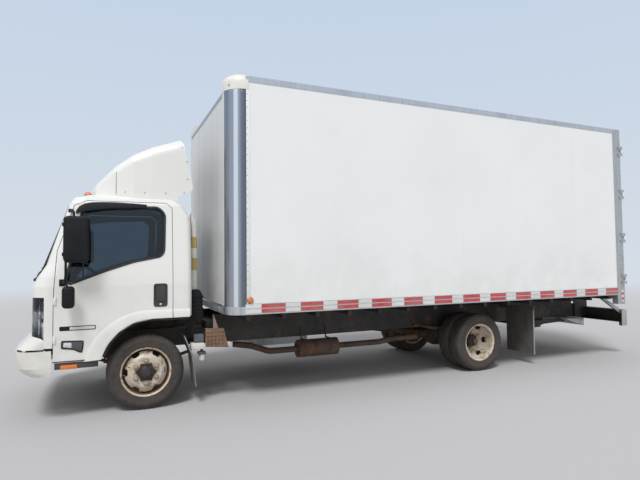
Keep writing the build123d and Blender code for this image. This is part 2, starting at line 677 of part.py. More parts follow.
def box_rails():
    """Bottom rail with the reflective band's step, top rails, and the front sill."""
    front = BOX_FRONT - BOX_EDGE_R
    low = block(REAR_FRAME_FRONT, front, BOX_HALF - 45, BOX_HALF, BOX_LOW, RAIL_BAND_TOP)
    low -= block(REAR_FRAME_FRONT, front, BOX_HALF - 60, BOX_HALF - 30, BOX_LOW + 6, 1030)
    high = block(REAR_FRAME_FRONT, front, BOX_HALF - 40, BOX_HALF, TOP_RAIL_LOW, BOX_TOP)
    r = BOX_EDGE_R
    corner = (Circle(r) - Circle(r - 40)) & (Pos(r / 2, r / 2) * Rectangle(r, r))
    turn = extrude(Pos(front, BOX_HALF - r, BOX_LOW) * corner, amount=90)
    nose = block(BOX_FRONT - 40, BOX_FRONT, -BOX_HALF + r, BOX_HALF - r, BOX_LOW, BOX_LOW + 90)
    front_rail = turn + nose + mirrored(turn)
    return Compound(both_sides(low).solids() + both_sides(high).solids() + front_rail.solids())


def box_rear_frame():
    """Galvanised portal round the rear doors, with the fixed halves of their hinges."""
    post = block(BOX_REAR, REAR_FRAME_FRONT, 1200, BOX_HALF, 845, BOX_TOP)
    header = block(BOX_REAR, REAR_FRAME_FRONT, -1200, 1200, 3500, BOX_TOP)
    sill = block(BOX_REAR, REAR_FRAME_FRONT, -1200, 1200, 925, 1050)
    for z in HINGE_HEIGHTS:
        for low in (z - 75, z + 35):
            post += rod((REAR_DOOR_PIN_X, REAR_DOOR_PIN_Y, low), (REAR_DOOR_PIN_X, REAR_DOOR_PIN_Y, low + 40), 11)
            post += block(REAR_DOOR_PIN_X, BOX_REAR + 60, BOX_HALF, REAR_DOOR_PIN_Y + 4, low, low + 40)
        post += rod((REAR_DOOR_PIN_X, REAR_DOOR_PIN_Y, z - 60), (REAR_DOOR_PIN_X, REAR_DOOR_PIN_Y, z + 60), 6)
    return header + sill + post + mirrored(post)


HINGE_HEIGHTS = [1240, 1900, 2600, 3300]


def rear_door():
    """Left leaf with its hinge straps, two lock rods and a handle."""
    leaf = block(BOX_REAR, BOX_REAR + 38, 4, 1192, 1058, 3492)
    for z in HINGE_HEIGHTS:
        strap = block(REAR_DOOR_PIN_X - 5, REAR_DOOR_PIN_X + 5, 1000, REAR_DOOR_PIN_Y, z - 28, z + 28)
        pad = block(BOX_REAR - 22, BOX_REAR, 1000, 1180, z - 28, z + 28)
        barrel = rod((REAR_DOOR_PIN_X, REAR_DOOR_PIN_Y, z - 28), (REAR_DOOR_PIN_X, REAR_DOOR_PIN_Y, z + 28), 11)
        hinge = strap + pad + barrel
        hinge -= rod((REAR_DOOR_PIN_X, REAR_DOOR_PIN_Y, z - 40), (REAR_DOOR_PIN_X, REAR_DOOR_PIN_Y, z + 40), 7)
        leaf += hinge
    for y in (300, 860):
        leaf += rod((BOX_REAR - 32, y, 1075), (BOX_REAR - 32, y, 3480), 14)
        for z in (1100, 1700, 2500, 3200, 3440):
            leaf += block(BOX_REAR - 48, BOX_REAR, y - 28, y + 28, z - 22, z + 22)
        leaf += block(BOX_REAR - 52, BOX_REAR - 40, y - 320 if y > 400 else y - 260, y, 1480, 1510)
    return leaf


def rear_bumper():
    """Underride bar on two uprights, with end braces up to the sill."""
    bar = block(TAIL_X, TAIL_X + 120, -1170, 1170, 530, 730)
    bar -= block(TAIL_X + 10, TAIL_X + 130, -1160, 1160, 540, 720)
    for side in (-1, 1):
        bar += block(TAIL_X, TAIL_X + 120, side * 1120, side * 1170, 475, 532)
        bar += block(TAIL_X + 10, RAIL_REAR + 40, side * RAIL_OUT_Y, side * 456, 560, 925)
        brace = [(-6880, 925), (-6960, 925), (TAIL_X + 20, 700), (TAIL_X + 20, 640), (TAIL_X + 60, 640)]
        bar += side_plate(brace, side * 1130 - 15, side * 1130 + 15)
    return bar


def marker_lamps():
    """Amber side markers on the box, tail lamps under the rear sill and lamps in the rear header."""
    side = both_sides(rod((-1053, BOX_HALF, 1060), (-1053, BOX_HALF + 18, 1060), 32))
    tail = both_sides(block(BOX_REAR - 12, BOX_REAR, 1060, 1190, 945, 1035))
    top = [rod((BOX_REAR - 14, y, 3580), (BOX_REAR, y, 3580), 30) for y in (-1150, -200, 0, 200, 1150)]
    return Compound([solid for lamp in (side, tail, *top) for solid in lamp.solids()])


write("frame_rails", frame_rails())
write("frame_crossmembers", frame_crossmembers())
write("powertrain", powertrain())
write("front_axle", front_axle())
write("rear_axle", rear_axle())
write("leaf_springs", leaf_springs())
write("exhaust", exhaust())
write("fuel_tank", fuel_tank())
write("air_intake", air_intake())
write("side_shield", side_shield())
write("mud_guards", mud_guards())
write("front_bumper", front_bumper())
write("rear_bumper", rear_bumper())
write("marker_lamps", marker_lamps())
write("box_subframe", box_subframe())
write("box_floor", box_floor())
write("box_wall_left", box_side_wall())
write("box_wall_right", mirrored(box_side_wall()))
write("box_front_wall", box_front_wall())
write("box_roof", box_roof())
write("box_corner_posts", box_corner_posts())
write("box_rails", box_rails())
write("box_rear_frame", box_rear_frame())
write("rear_door_left", rear_door())
write("rear_door_right", mirrored(rear_door()))

left_knuckle = knuckle()
write("knuckle_left", left_knuckle)
write("knuckle_right", mirrored(left_knuckle))
front_rim, front_tyre = front_wheel(1)
rear_rims, rear_tyres = rear_wheels(1)
for node, shape in (("wheel_front", front_rim), ("tyre_front", front_tyre),
                    ("wheels_rear", rear_rims), ("tyres_rear", rear_tyres)):
    write(f"{node}_left", shape)
    write(f"{node}_right", mirrored(shape))

shell, windscreen, rear_window, headlamps, panel, door, glass = build_cab()
write("cab_shell", shell)
write("windscreen", windscreen)
write("rear_window", rear_window)
write("headlamps", Compound([solid for lamp in headlamps for solid in lamp.solids()]))
write("front_panel", panel)
write("front_valance", front_valance())
write("cab_floor", cab_floor())
write("roof_fairing", build_fairing())
write("dashboard", dashboard())
write("seats", seats())
write("door_left", door)
write("door_right", mirrored(door))
write("door_glass_left", glass)
write("door_glass_right", mirrored(glass))
left_mirror = mirror_arm() - door
write("mirror_left", left_mirror)
write("mirror_right", mirrored(left_mirror))
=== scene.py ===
import math
import bmesh
import bpy
from mathutils import Matrix, Vector
from mathutils.bvhtree import BVHTree


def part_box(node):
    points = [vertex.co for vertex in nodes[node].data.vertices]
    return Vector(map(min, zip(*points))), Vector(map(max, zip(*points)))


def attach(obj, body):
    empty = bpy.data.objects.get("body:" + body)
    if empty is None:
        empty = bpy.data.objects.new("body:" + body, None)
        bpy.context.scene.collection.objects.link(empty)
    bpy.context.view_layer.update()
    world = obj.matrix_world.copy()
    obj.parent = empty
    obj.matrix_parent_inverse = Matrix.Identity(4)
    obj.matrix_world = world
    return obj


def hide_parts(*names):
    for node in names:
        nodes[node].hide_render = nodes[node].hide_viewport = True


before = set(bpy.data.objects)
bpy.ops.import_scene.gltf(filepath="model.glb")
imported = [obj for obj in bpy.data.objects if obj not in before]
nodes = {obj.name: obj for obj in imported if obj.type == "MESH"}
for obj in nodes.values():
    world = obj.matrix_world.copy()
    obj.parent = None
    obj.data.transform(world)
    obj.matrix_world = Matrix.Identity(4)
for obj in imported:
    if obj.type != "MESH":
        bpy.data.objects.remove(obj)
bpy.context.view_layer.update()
print("frame loaded,", len(nodes), "nodes")


# places come from the frame, and stations along the truck start at the front axle

def centreOf(node):
    low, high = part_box(node)
    return (low + high) / 2


frontAxleX = centreOf("tyre_front_left").x
rearStation = centreOf("tyres_rear_left").x - frontAxleX
rearWheelY = centreOf("tyres_rear_left").y
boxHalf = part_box("box_rails")[1].y
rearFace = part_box("box_rear_frame")[0].x - frontAxleX
sideNames = ((1, "left"), (-1, "right"))


def station(x, y, z):
    return Vector((frontAxleX + x, y, z))


def polar(radius, degrees):
    angle = math.radians(degrees)
    return radius * math.cos(angle), radius * math.sin(angle)


def linked(name, data):
    thing = bpy.data.objects.new(name, data)
    bpy.context.scene.collection.objects.link(thing)
    return thing


# node tools

def part(kind, values=None, **settings):
    return kind, {"values": values or {}, **settings}


def addNode(tree, kind, values, stops=(), **settings):
    # a kind without Node in its name is a shader node; stops are the places and tones of a colour ramp
    node = tree.nodes.new(kind if "Node" in kind else "ShaderNode" + kind)
    for key, value in settings.items():
        setattr(node, key, value)
    for key, value in values.items():
        node.inputs[key].default_value = value
    for number, (position, tone) in enumerate(stops):
        node.color_ramp.elements[number].position = position
        node.color_ramp.elements[number].color = (*tone, 1)
    return node


def plug(sockets, label):
    return sockets[int(label) if label.isdigit() else label]


def fillTree(tree, recipe, links):
    # a link reads "part.Socket > part.Socket", and a number is a socket's place in its row
    made = {name: addNode(tree, kind, **details) for name, (kind, details) in recipe.items()}
    for link in links:
        (start, outlet), (end, inlet) = (half.split(".") for half in link.split(" > "))
        tree.links.new(plug(made[start].outputs, outlet), plug(made[end].inputs, inlet))
    return made


# stage, light and camera

studio = {"backdrop": (0.66, 0.72, 0.79), "zenith": (0.50, 0.62, 0.80), "zenithFrom": 0.7, "ambient": 0.66,
          "sunPower": 2.15, "sunSoftness": 16, "sunFrom": (0.36, 0.52, 0.94),
          "floorTone": (0.47, 0.47, 0.48), "floorReach": 90, "floorFadeFrom": 9, "floorFadeTo": 34}

cameraView = {"place": (0.435, 6.578, 1.569), "yaw": 23.79, "pitch": 2.48, "roll": -0.56, "imageWidth": 640,
              "focalPixels": 492.3, "sensor": 36, "nearest": 0.05, "farthest": 500}


def makeWorld():
    # an even light on the truck, and a sky that only the camera, mirrors and glass see
    world = bpy.data.worlds.new("studioWorld")
    bpy.context.scene.world = world
    world.use_nodes = True
    world.node_tree.nodes.clear()
    fillTree(
        world.node_tree,
        {"put": part("OutputWorld"), "seen": part("Background", {"Strength": 1}),
         "lit": part("Background", {"Color": (1, 1, 1, 1), "Strength": studio["ambient"]}),
         "mix": part("MixShader"), "path": part("LightPath"), "coords": part("TexCoord"),
         "first": part("Math", operation="MAXIMUM"), "second": part("Math", operation="MAXIMUM"),
         "split": part("SeparateXYZ"),
         "ramp": part("ValToRGB", stops=((0.0, studio["backdrop"]),
                                         (studio["zenithFrom"], studio["zenith"])))},
        ["coords.Generated > split.0", "split.Z > ramp.Fac", "ramp.Color > seen.Color",
         "path.Is Camera Ray > first.0", "path.Is Glossy Ray > first.1", "first.0 > second.0",
         "path.Is Transmission Ray > second.1", "second.0 > mix.Fac", "lit.0 > mix.1", "seen.0 > mix.2",
         "mix.0 > put.Surface"])


def makeFloor():
    reach = studio["floorReach"]
    mesh = bpy.data.meshes.new("studioFloor")
    mesh.from_pydata([(-reach, -reach, 0), (reach, -reach, 0), (reach, reach, 0), (-reach, reach, 0)], [],
                     [(0, 1, 2, 3)])
    material = bpy.data.materials.new("paleFloor")
    material.use_nodes = True
    material.node_tree.nodes.clear()
    fillTree(
        material.node_tree,
        {"put": part("OutputMaterial"), "plain": part("BsdfDiffuse", {"Color": (*studio["floorTone"], 1)}),
         "far": part("Emission", {"Color": (*studio["backdrop"], 1)}), "mix": part("MixShader"),
         "coords": part("TexCoord"), "length": part("VectorMath", operation="LENGTH"),
         "fade": part("MapRange", {"From Min": studio["floorFadeFrom"], "From Max": studio["floorFadeTo"]},
                      interpolation_type="SMOOTHSTEP")},
        ["coords.Object > length.0", "length.Value > fade.Value", "fade.Result > mix.Fac", "plain.0 > mix.1",
         "far.0 > mix.2", "mix.0 > put.Surface"])
    mesh.materials.append(material)
    linked("studioFloor", mesh)


def makeSun():
    lamp = bpy.data.lights.new("studioSun", "SUN")
    lamp.energy = studio["sunPower"]
    lamp.angle = math.radians(studio["sunSoftness"])
    sun = linked("studioSun", lamp)
    sun.rotation_mode = "QUATERNION"
    sun.rotation_quaternion = Vector(studio["sunFrom"]).to_track_quat("Z", "Y")


def makeCamera():
    yaw, pitch, roll = (math.radians(cameraView[k]) for k in ("yaw", "pitch", "roll"))
    ahead = Vector((-math.sin(yaw) * math.cos(pitch), -math.cos(yaw) * math.cos(pitch), math.sin(pitch)))
    right = Vector((-math.cos(yaw), math.sin(yaw), 0))
    up = right.cross(ahead)
    rolledRight = math.cos(roll) * right + math.sin(roll) * up
    rolledUp = math.cos(roll) * up - math.sin(roll) * right
    data = bpy.data.cameras.new("photoCamera")
    data.sensor_width = cameraView["sensor"]
    data.lens = cameraView["focalPixels"] / cameraView["imageWidth"] * cameraView["sensor"]
    data.clip_start = cameraView["nearest"]
    data.clip_end = cameraView["farthest"]
    camera = linked("photoCamera", data)
    turn = Matrix((rolledRight, rolledUp, -ahead)).transposed().to_4x4()
    camera.matrix_world = Matrix.Translation(station(*cameraView["place"])) @ turn
    bpy.context.scene.camera = camera


bpy.context.scene.view_settings.view_transform = "Standard"
makeWorld()
makeFloor()
makeSun()
makeCamera()
print("stage, light and camera made")


# shared effects

def makeGroup(name, inputs, outputs, recipe, links):
    # inputs are label: default, and outputs are label: kind
    tree = bpy.data.node_groups.new(name, "ShaderNodeTree")
    for label, default in inputs.items():
        kind = "NodeSocketVector" if isinstance(default, tuple) else "NodeSocketFloat"
        tree.interface.new_socket(label, in_out="INPUT", socket_type=kind).default_value = default
    for label, kind in outputs.items():
        tree.interface.new_socket(label, in_out="OUTPUT", socket_type="NodeSocket" + kind)
    ends = {"given": part("NodeGroupInput"), "put": part("NodeGroupOutput"), "coords": part("TexCoord")}
    fillTree(tree, {**ends, **recipe}, links)
    return tree


# road dust: thick low down, broken up by patches, gone above a height
dustGroup = makeGroup(
    "roadDust", {"Low": 0.3, "High": 1.2, "Patch Scale": 3.0, "Amount": 0.5}, {"Mask": "Float"},
    {"split": part("SeparateXYZ"), "height": part("MapRange", {"To Min": 1.0, "To Max": 0.0}),
     "noise": part("TexNoise", {"Detail": 6.0, "Roughness": 0.65}),
     "patch": part("MapRange", {"From Min": 0.35, "From Max": 0.7}),
     "mixed": part("Math", operation="MULTIPLY"), "scaled": part("Math", operation="MULTIPLY")},
    ["coords.Object > split.0", "split.Z > height.Value", "given.Low > height.From Min",
     "given.High > height.From Max", "coords.Object > noise.Vector", "given.Patch Scale > noise.Scale",
     "noise.0 > patch.Value", "height.Result > mixed.0", "patch.Result > mixed.1", "mixed.0 > scaled.0",
     "given.Amount > scaled.1", "scaled.0 > put.Mask"])

# fine surface grain, as a value and as a bumped normal; Stretch draws it out along an axis
grainGroup = makeGroup(
    "surfaceGrain", {"Scale": 200.0, "Depth": 0.2, "Stretch": (1, 1, 1), "Height": 0.001},
    {"Value": "Float", "Normal": "Vector"},
    {"drawn": part("VectorMath", operation="MULTIPLY"),
     "noise": part("TexNoise", {"Detail": 4.0, "Roughness": 0.6}), "bump": part("Bump")},
    ["coords.Object > drawn.0", "given.Stretch > drawn.1", "drawn.0 > noise.Vector",
     "given.Scale > noise.Scale", "given.Depth > bump.Strength", "given.Height > bump.Distance",
     "noise.0 > bump.Height", "noise.0 > put.Value", "bump.0 > put.Normal"])

# runs of water and grime down an upright surface
streakGroup = makeGroup(
    "waterStreaks", {"Width Scale": 12.0, "Length Scale": 0.5, "Start": 0.5, "Full": 0.75}, {"Mask": "Float"},
    {"sizes": part("CombineXYZ"), "drawn": part("VectorMath", operation="MULTIPLY"),
     "noise": part("TexNoise", {"Scale": 1.0, "Detail": 5.0, "Roughness": 0.6}),
     "ramp": part("MapRange", interpolation_type="SMOOTHSTEP")},
    ["given.Width Scale > sizes.0", "given.Width Scale > sizes.1", "given.Length Scale > sizes.2",
     "coords.Object > drawn.0", "sizes.0 > drawn.1", "drawn.0 > noise.Vector", "noise.0 > ramp.Value",
     "given.Start > ramp.From Min", "given.Full > ramp.From Max", "ramp.Result > put.Mask"])

# where two faces meet: a mask for worn edges, and a normal that rounds them
edgeWearGroup = makeGroup(
    "edgeWear", {"Radius": 0.004, "Break": 60.0}, {"Mask": "Float", "Normal": "Vector"},
    {"rounded": part("Bevel", samples=4), "surface": part("NewGeometry"),
     "dot": part("VectorMath", operation="DOT_PRODUCT"),
     "edge": part("MapRange", {"From Min": 0.99, "From Max": 0.82}),
     "noise": part("TexNoise", {"Detail": 4.0}), "mixed": part("Math", operation="MULTIPLY"),
     "patchy": part("MapRange", {"From Min": 0.38, "From Max": 0.6})},
    ["given.Radius > rounded.Radius", "rounded.0 > dot.0", "surface.Normal > dot.1", "dot.Value > edge.Value",
     "coords.Object > noise.Vector", "given.Break > noise.Scale", "noise.0 > patchy.Value",
     "edge.Result > mixed.0", "patchy.Result > mixed.1", "mixed.0 > put.Mask", "rounded.0 > put.Normal"])

# patches of rust with their own mottled colour
rustGroup = makeGroup(
    "rustPatches", {"Scale": 8.0, "Start": 0.5, "Full": 0.62}, {"Mask": "Float", "Color": "Color"},
    {"large": part("TexNoise", {"Detail": 8.0, "Roughness": 0.7}), "cut": part("MapRange"),
     "small": part("TexNoise", {"Scale": 90.0, "Detail": 5.0, "Roughness": 0.7}),
     "tones": part("ValToRGB", stops=((0.3, (0.045, 0.018, 0.009)), (0.72, (0.30, 0.115, 0.035))))},
    ["coords.Object > large.Vector", "given.Scale > large.Scale", "large.0 > cut.Value",
     "given.Start > cut.From Min", "given.Full > cut.From Max", "coords.Object > small.Vector",
     "small.0 > tones.Fac", "cut.Result > put.Mask", "tones.Color > put.Color"])


class Finish:
    # one material under construction: its colour, roughness and normal so far, and its masks by name
    def __init__(self, name, tone, roughness, **constants):
        self.name = name
        self.material = bpy.data.materials.new(name)
        self.material.use_nodes = True
        self.tree = self.material.node_tree
        self.shader = self.tree.nodes["Principled BSDF"]
        for key, value in constants.items():
            self.shader.inputs[key.replace("_", " ")].default_value = value
        self.colour = (*tone, 1)
        self.roughness = roughness
        self.normal = None
        self.masks = {}

    def feed(self, value, socket):
        # an outlet is wired in, a plain value is set
        if isinstance(value, bpy.types.NodeSocket):
            self.tree.links.new(value, socket)
        else:
            socket.default_value = value

    def group(self, source, *values):
        # a shared effect, its inputs given in the group's own order
        node = addNode(self.tree, "Group", {}, node_tree=source)
        for socket, value in zip(node.inputs, values):
            socket.default_value = value
        return node.outputs

    def paint(self, mask, tone, share=1.0):
        # a second colour where the mask is, over what is there already
        mix = addNode(self.tree, "Mix", {}, data_type="RGBA")
        if share != 1.0:
            scaled = addNode(self.tree, "Math", {1: share}, operation="MULTIPLY")
            self.feed(mask, scaled.inputs[0])
            mask = scaled.outputs[0]
        self.feed(mask, mix.inputs[0])
        self.feed(self.colour, mix.inputs[6])
        self.feed((*tone, 1) if isinstance(tone, tuple) else tone, mix.inputs[7])
        self.colour = mix.outputs[2]
        return self

    def cover(self, label, mask, tone, share):
        self.masks[label] = mask
        return self.paint(mask, tone, share)

    def dull(self, label, value):
        # another roughness where the named mask is
        mix = addNode(self.tree, "Mix", {3: value})
        self.feed(self.roughness, mix.inputs[2])
        self.feed(self.masks[label], mix.inputs[0])
        self.roughness = mix.outputs[0]
        return self

    def bump(self, label, strength, distance):
        node = addNode(self.tree, "Bump", {"Strength": strength, "Distance": distance})
        self.feed(self.masks[label], node.inputs["Height"])
        if self.normal is not None:
            self.feed(self.normal, node.inputs["Normal"])
        self.normal = node.outputs[0]
        return self

    def noise(self, scale, low, high, stretch=(1, 1, 1)):
        # a noise cut to a mask between two levels
        made = fillTree(
            self.tree,
            {"coords": part("TexCoord"), "drawn": part("VectorMath", {1: stretch}, operation="MULTIPLY"),
             "texture": part("TexNoise", {"Scale": scale, "Detail": 5.0, "Roughness": 0.6}),
             "cut": part("MapRange", {"From Min": low, "From Max": high})},
            ["coords.Object > drawn.0", "drawn.0 > texture.Vector", "texture.0 > cut.Value"])
        return made["cut"].outputs["Result"]

    def mottle(self, scale, low, high, tone, share, stretch=(1, 1, 1)):
        return self.cover("mottle", self.noise(scale, low, high, stretch), tone, share)

    def smear(self, scale, low, high, value):
        self.masks["smear"] = self.noise(scale, low, high)
        return self.dull("smear", value)

    def pitted(self, scale, strength, distance, stretch=(1, 1, 1)):
        self.masks["pits"] = self.noise(scale, 0.3, 0.7, stretch)
        return self.bump("pits", strength, distance)

    def dust(self, low, high, patches, amount, tone, share=1.0):
        return self.cover("dust", self.group(dustGroup, low, high, patches, amount)["Mask"], tone, share)

    def streaks(self, width, length, start, full, tone, share):
        mask = self.group(streakGroup, width, length, start, full)["Mask"]
        return self.cover("streaks", mask, tone, share)

    def rust(self, scale, start, full, share):
        made = self.group(rustGroup, scale, start, full)
        return self.cover("rust", made["Mask"], made["Color"], share)

    def worn(self, radius, breaks, tone, share):
        made = self.group(edgeWearGroup, radius, breaks)
        self.normal = made["Normal"]
        return self.cover("wear", made["Mask"], tone, share)

    def grain(self, scale, depth, height, stretch=(1, 1, 1)):
        self.normal = self.group(grainGroup, scale, depth, stretch, height)["Normal"]
        return self

    def cells(self, scale, tone, share, outlet="Distance"):
        recipe = {"coords": part("TexCoord"), "cells": part("TexVoronoi", {"Scale": scale})}
        made = fillTree(self.tree, recipe, ["coords.Object > cells.Vector"])
        return self.cover("cells", made["cells"].outputs[outlet], tone, share)

    def zone(self, value, low, high, tone, share, curve="LINEAR"):
        # a colour that comes in between two levels of a value
        cut = addNode(self.tree, "MapRange", {"From Min": low, "From Max": high}, interpolation_type=curve)
        self.feed(value, cut.inputs["Value"])
        return self.paint(cut.outputs["Result"], tone, share)

    def done(self):
        self.feed(self.colour, self.shader.inputs["Base Color"])
        self.feed(self.roughness, self.shader.inputs["Roughness"])
        if self.normal is not None:
            self.feed(self.normal, self.shader.inputs["Normal"])
        return self.material


# finishes

def shade(tone, factor):
    return tuple(factor * c for c in tone)


def boxPanel(name):
    return (Finish(name, (0.85, 0.86, 0.86), 0.36)
            .mottle(0.8, 0.4, 0.8, (0.78, 0.79, 0.80), 0.7)
            .streaks(7.0, 0.22, 0.58, 0.85, (0.66, 0.66, 0.64), 0.35)
            .dust(1.0, 1.9, 2.0, 0.4, (0.55, 0.53, 0.48))
            .mottle(26, 0.73, 0.78, (0.40, 0.42, 0.45), 0.5, stretch=(0.25, 1, 1.6))
            .grain(90.0, 0.18, 0.001))


def aluminium(name, tone, roughness, stretch):
    return (Finish(name, tone, roughness, Metallic=0.95)
            .mottle(5.0, 0.45, 0.75, shade(tone, 0.72), 0.7)
            .streaks(30.0, 0.8, 0.5, 0.72, shade(tone, 0.5), 0.45)
            .dull("mottle", min(0.7, roughness + 0.22))
            .grain(160.0, 0.22, 0.0006, stretch))


def darkSteel(name, tone, roughness, rustFrom, dustAmount):
    return (Finish(name, tone, roughness, Metallic=0.15)
            .rust(6.0, rustFrom, rustFrom + 0.12, 0.8)
            .worn(0.004, 40.0, (0.20, 0.17, 0.14), 0.7)
            .dust(0.2, 1.3, 5.0, dustAmount, (0.24, 0.21, 0.17))
            .dull("dust", 0.9)
            .bump("rust", 0.3, 0.002))


def plastic(name, tone, roughness, grainScale=260.0, dust=0.35):
    return (Finish(name, tone, roughness)
            .mottle(4, 0.45, 0.8, tuple(min(1.0, c * 1.9 + 0.03) for c in tone), 0.4)
            .dust(0.3, 2.4, 6.0, dust, (0.22, 0.20, 0.17))
            .grain(grainScale, 0.3, 0.0006))


def matt(name, tone, other, roughness, scale=12.0, dusty=1.0, gleam=0.5):
    # a plain moulded or painted surface with faint mottling, dust and grain
    return (Finish(name, tone, roughness, Specular_IOR_Level=gleam)
            .mottle(scale, 0.42, 0.75, other, 0.7)
            .dust(0.3, 1.4, 6.0, 0.35, (0.33, 0.30, 0.26), dusty)
            .grain(300.0, 0.2, 0.0005))


def lens(name, tone, **glow):
    return (Finish(name, tone, 0.12, Coat_Weight=1.0, Coat_Roughness=0.05, **glow)
            .cells(110.0, shade(tone, 0.55), 0.8)
            .bump("cells", 0.5, 0.002))


def tapeSheet(name, tone, glint):
    # reflective sheet: a fine cell pattern under a clear coat
    return (Finish(name, tone, 0.30, Coat_Weight=0.8, Coat_Roughness=0.06)
            .cells(210.0, glint, 0.55)
            .dust(0.9, 1.5, 5.0, 0.45, (0.40, 0.36, 0.31))
            .bump("cells", 0.25, 0.0006))


def postAluminium():
    # rolled corner post: a painted highlight stripe down its middle, and painted shade on its flanks and
    # where it faces sideways, all set by which way the surface faces; stains and scratches over it
    finish = Finish("postAluminium", (0.40, 0.42, 0.46), 0.28, Metallic=0.9)
    made = fillTree(
        finish.tree,
        {"surface": part("NewGeometry"), "folded": part("VectorMath", operation="ABSOLUTE"),
         "middle": part("VectorMath", {1: (0.515, 0.857, 0.0)}, operation="DOT_PRODUCT"),
         "split": part("SeparateXYZ")},
        ["surface.Normal > folded.0", "folded.0 > middle.0", "folded.0 > split.0"])
    middle = made["middle"].outputs["Value"]
    return (finish
            # painted shade where the surface turns away from the highlight's direction
            .zone(middle, 0.97, 0.86, (0.24, 0.25, 0.28), 0.8, "SMOOTHSTEP")
            # painted highlight: a near-white stripe where the surface faces that direction
            .zone(middle, 0.988, 0.998, (0.95, 0.97, 1.00), 0.85, "SMOOTHSTEP")
            # painted shade where the surface faces sideways
            .zone(made["split"].outputs["Y"], 0.93, 0.985, (0.13, 0.15, 0.19), 0.75, "SMOOTHSTEP")
            .mottle(60, 0.66, 0.72, (0.22, 0.24, 0.27), 0.6)
            .mottle(140, 0.70, 0.74, (0.85, 0.86, 0.88), 0.7)
            .streaks(26.0, 0.7, 0.55, 0.8, (0.35, 0.36, 0.38), 0.4)
            .dull("streaks", 0.42)
            .grain(90.0, 0.16, 0.0006, (1.0, 1.0, 0.15)))


def lampGlass():
    # clear lamp cover, dark grey over its top and darker towards its foot, set by height
    finish = Finish("lampGlass", (0.86, 0.89, 0.92), 0.03, Transmission_Weight=1.0, IOR=1.08,
                    Coat_Weight=0.6, Coat_Roughness=0.04)
    made = fillTree(finish.tree, {"coords": part("TexCoord"), "split": part("SeparateXYZ")},
                    ["coords.Object > split.0"])
    height = made["split"].outputs["Z"]
    return (finish
            .zone(height, 1.088, 1.100, (0.115, 0.120, 0.130), 0.95)
            .zone(height, 0.96, 0.93, (0.36, 0.40, 0.45), 0.8)
            .smear(4.0, 0.5, 0.8, 0.08))


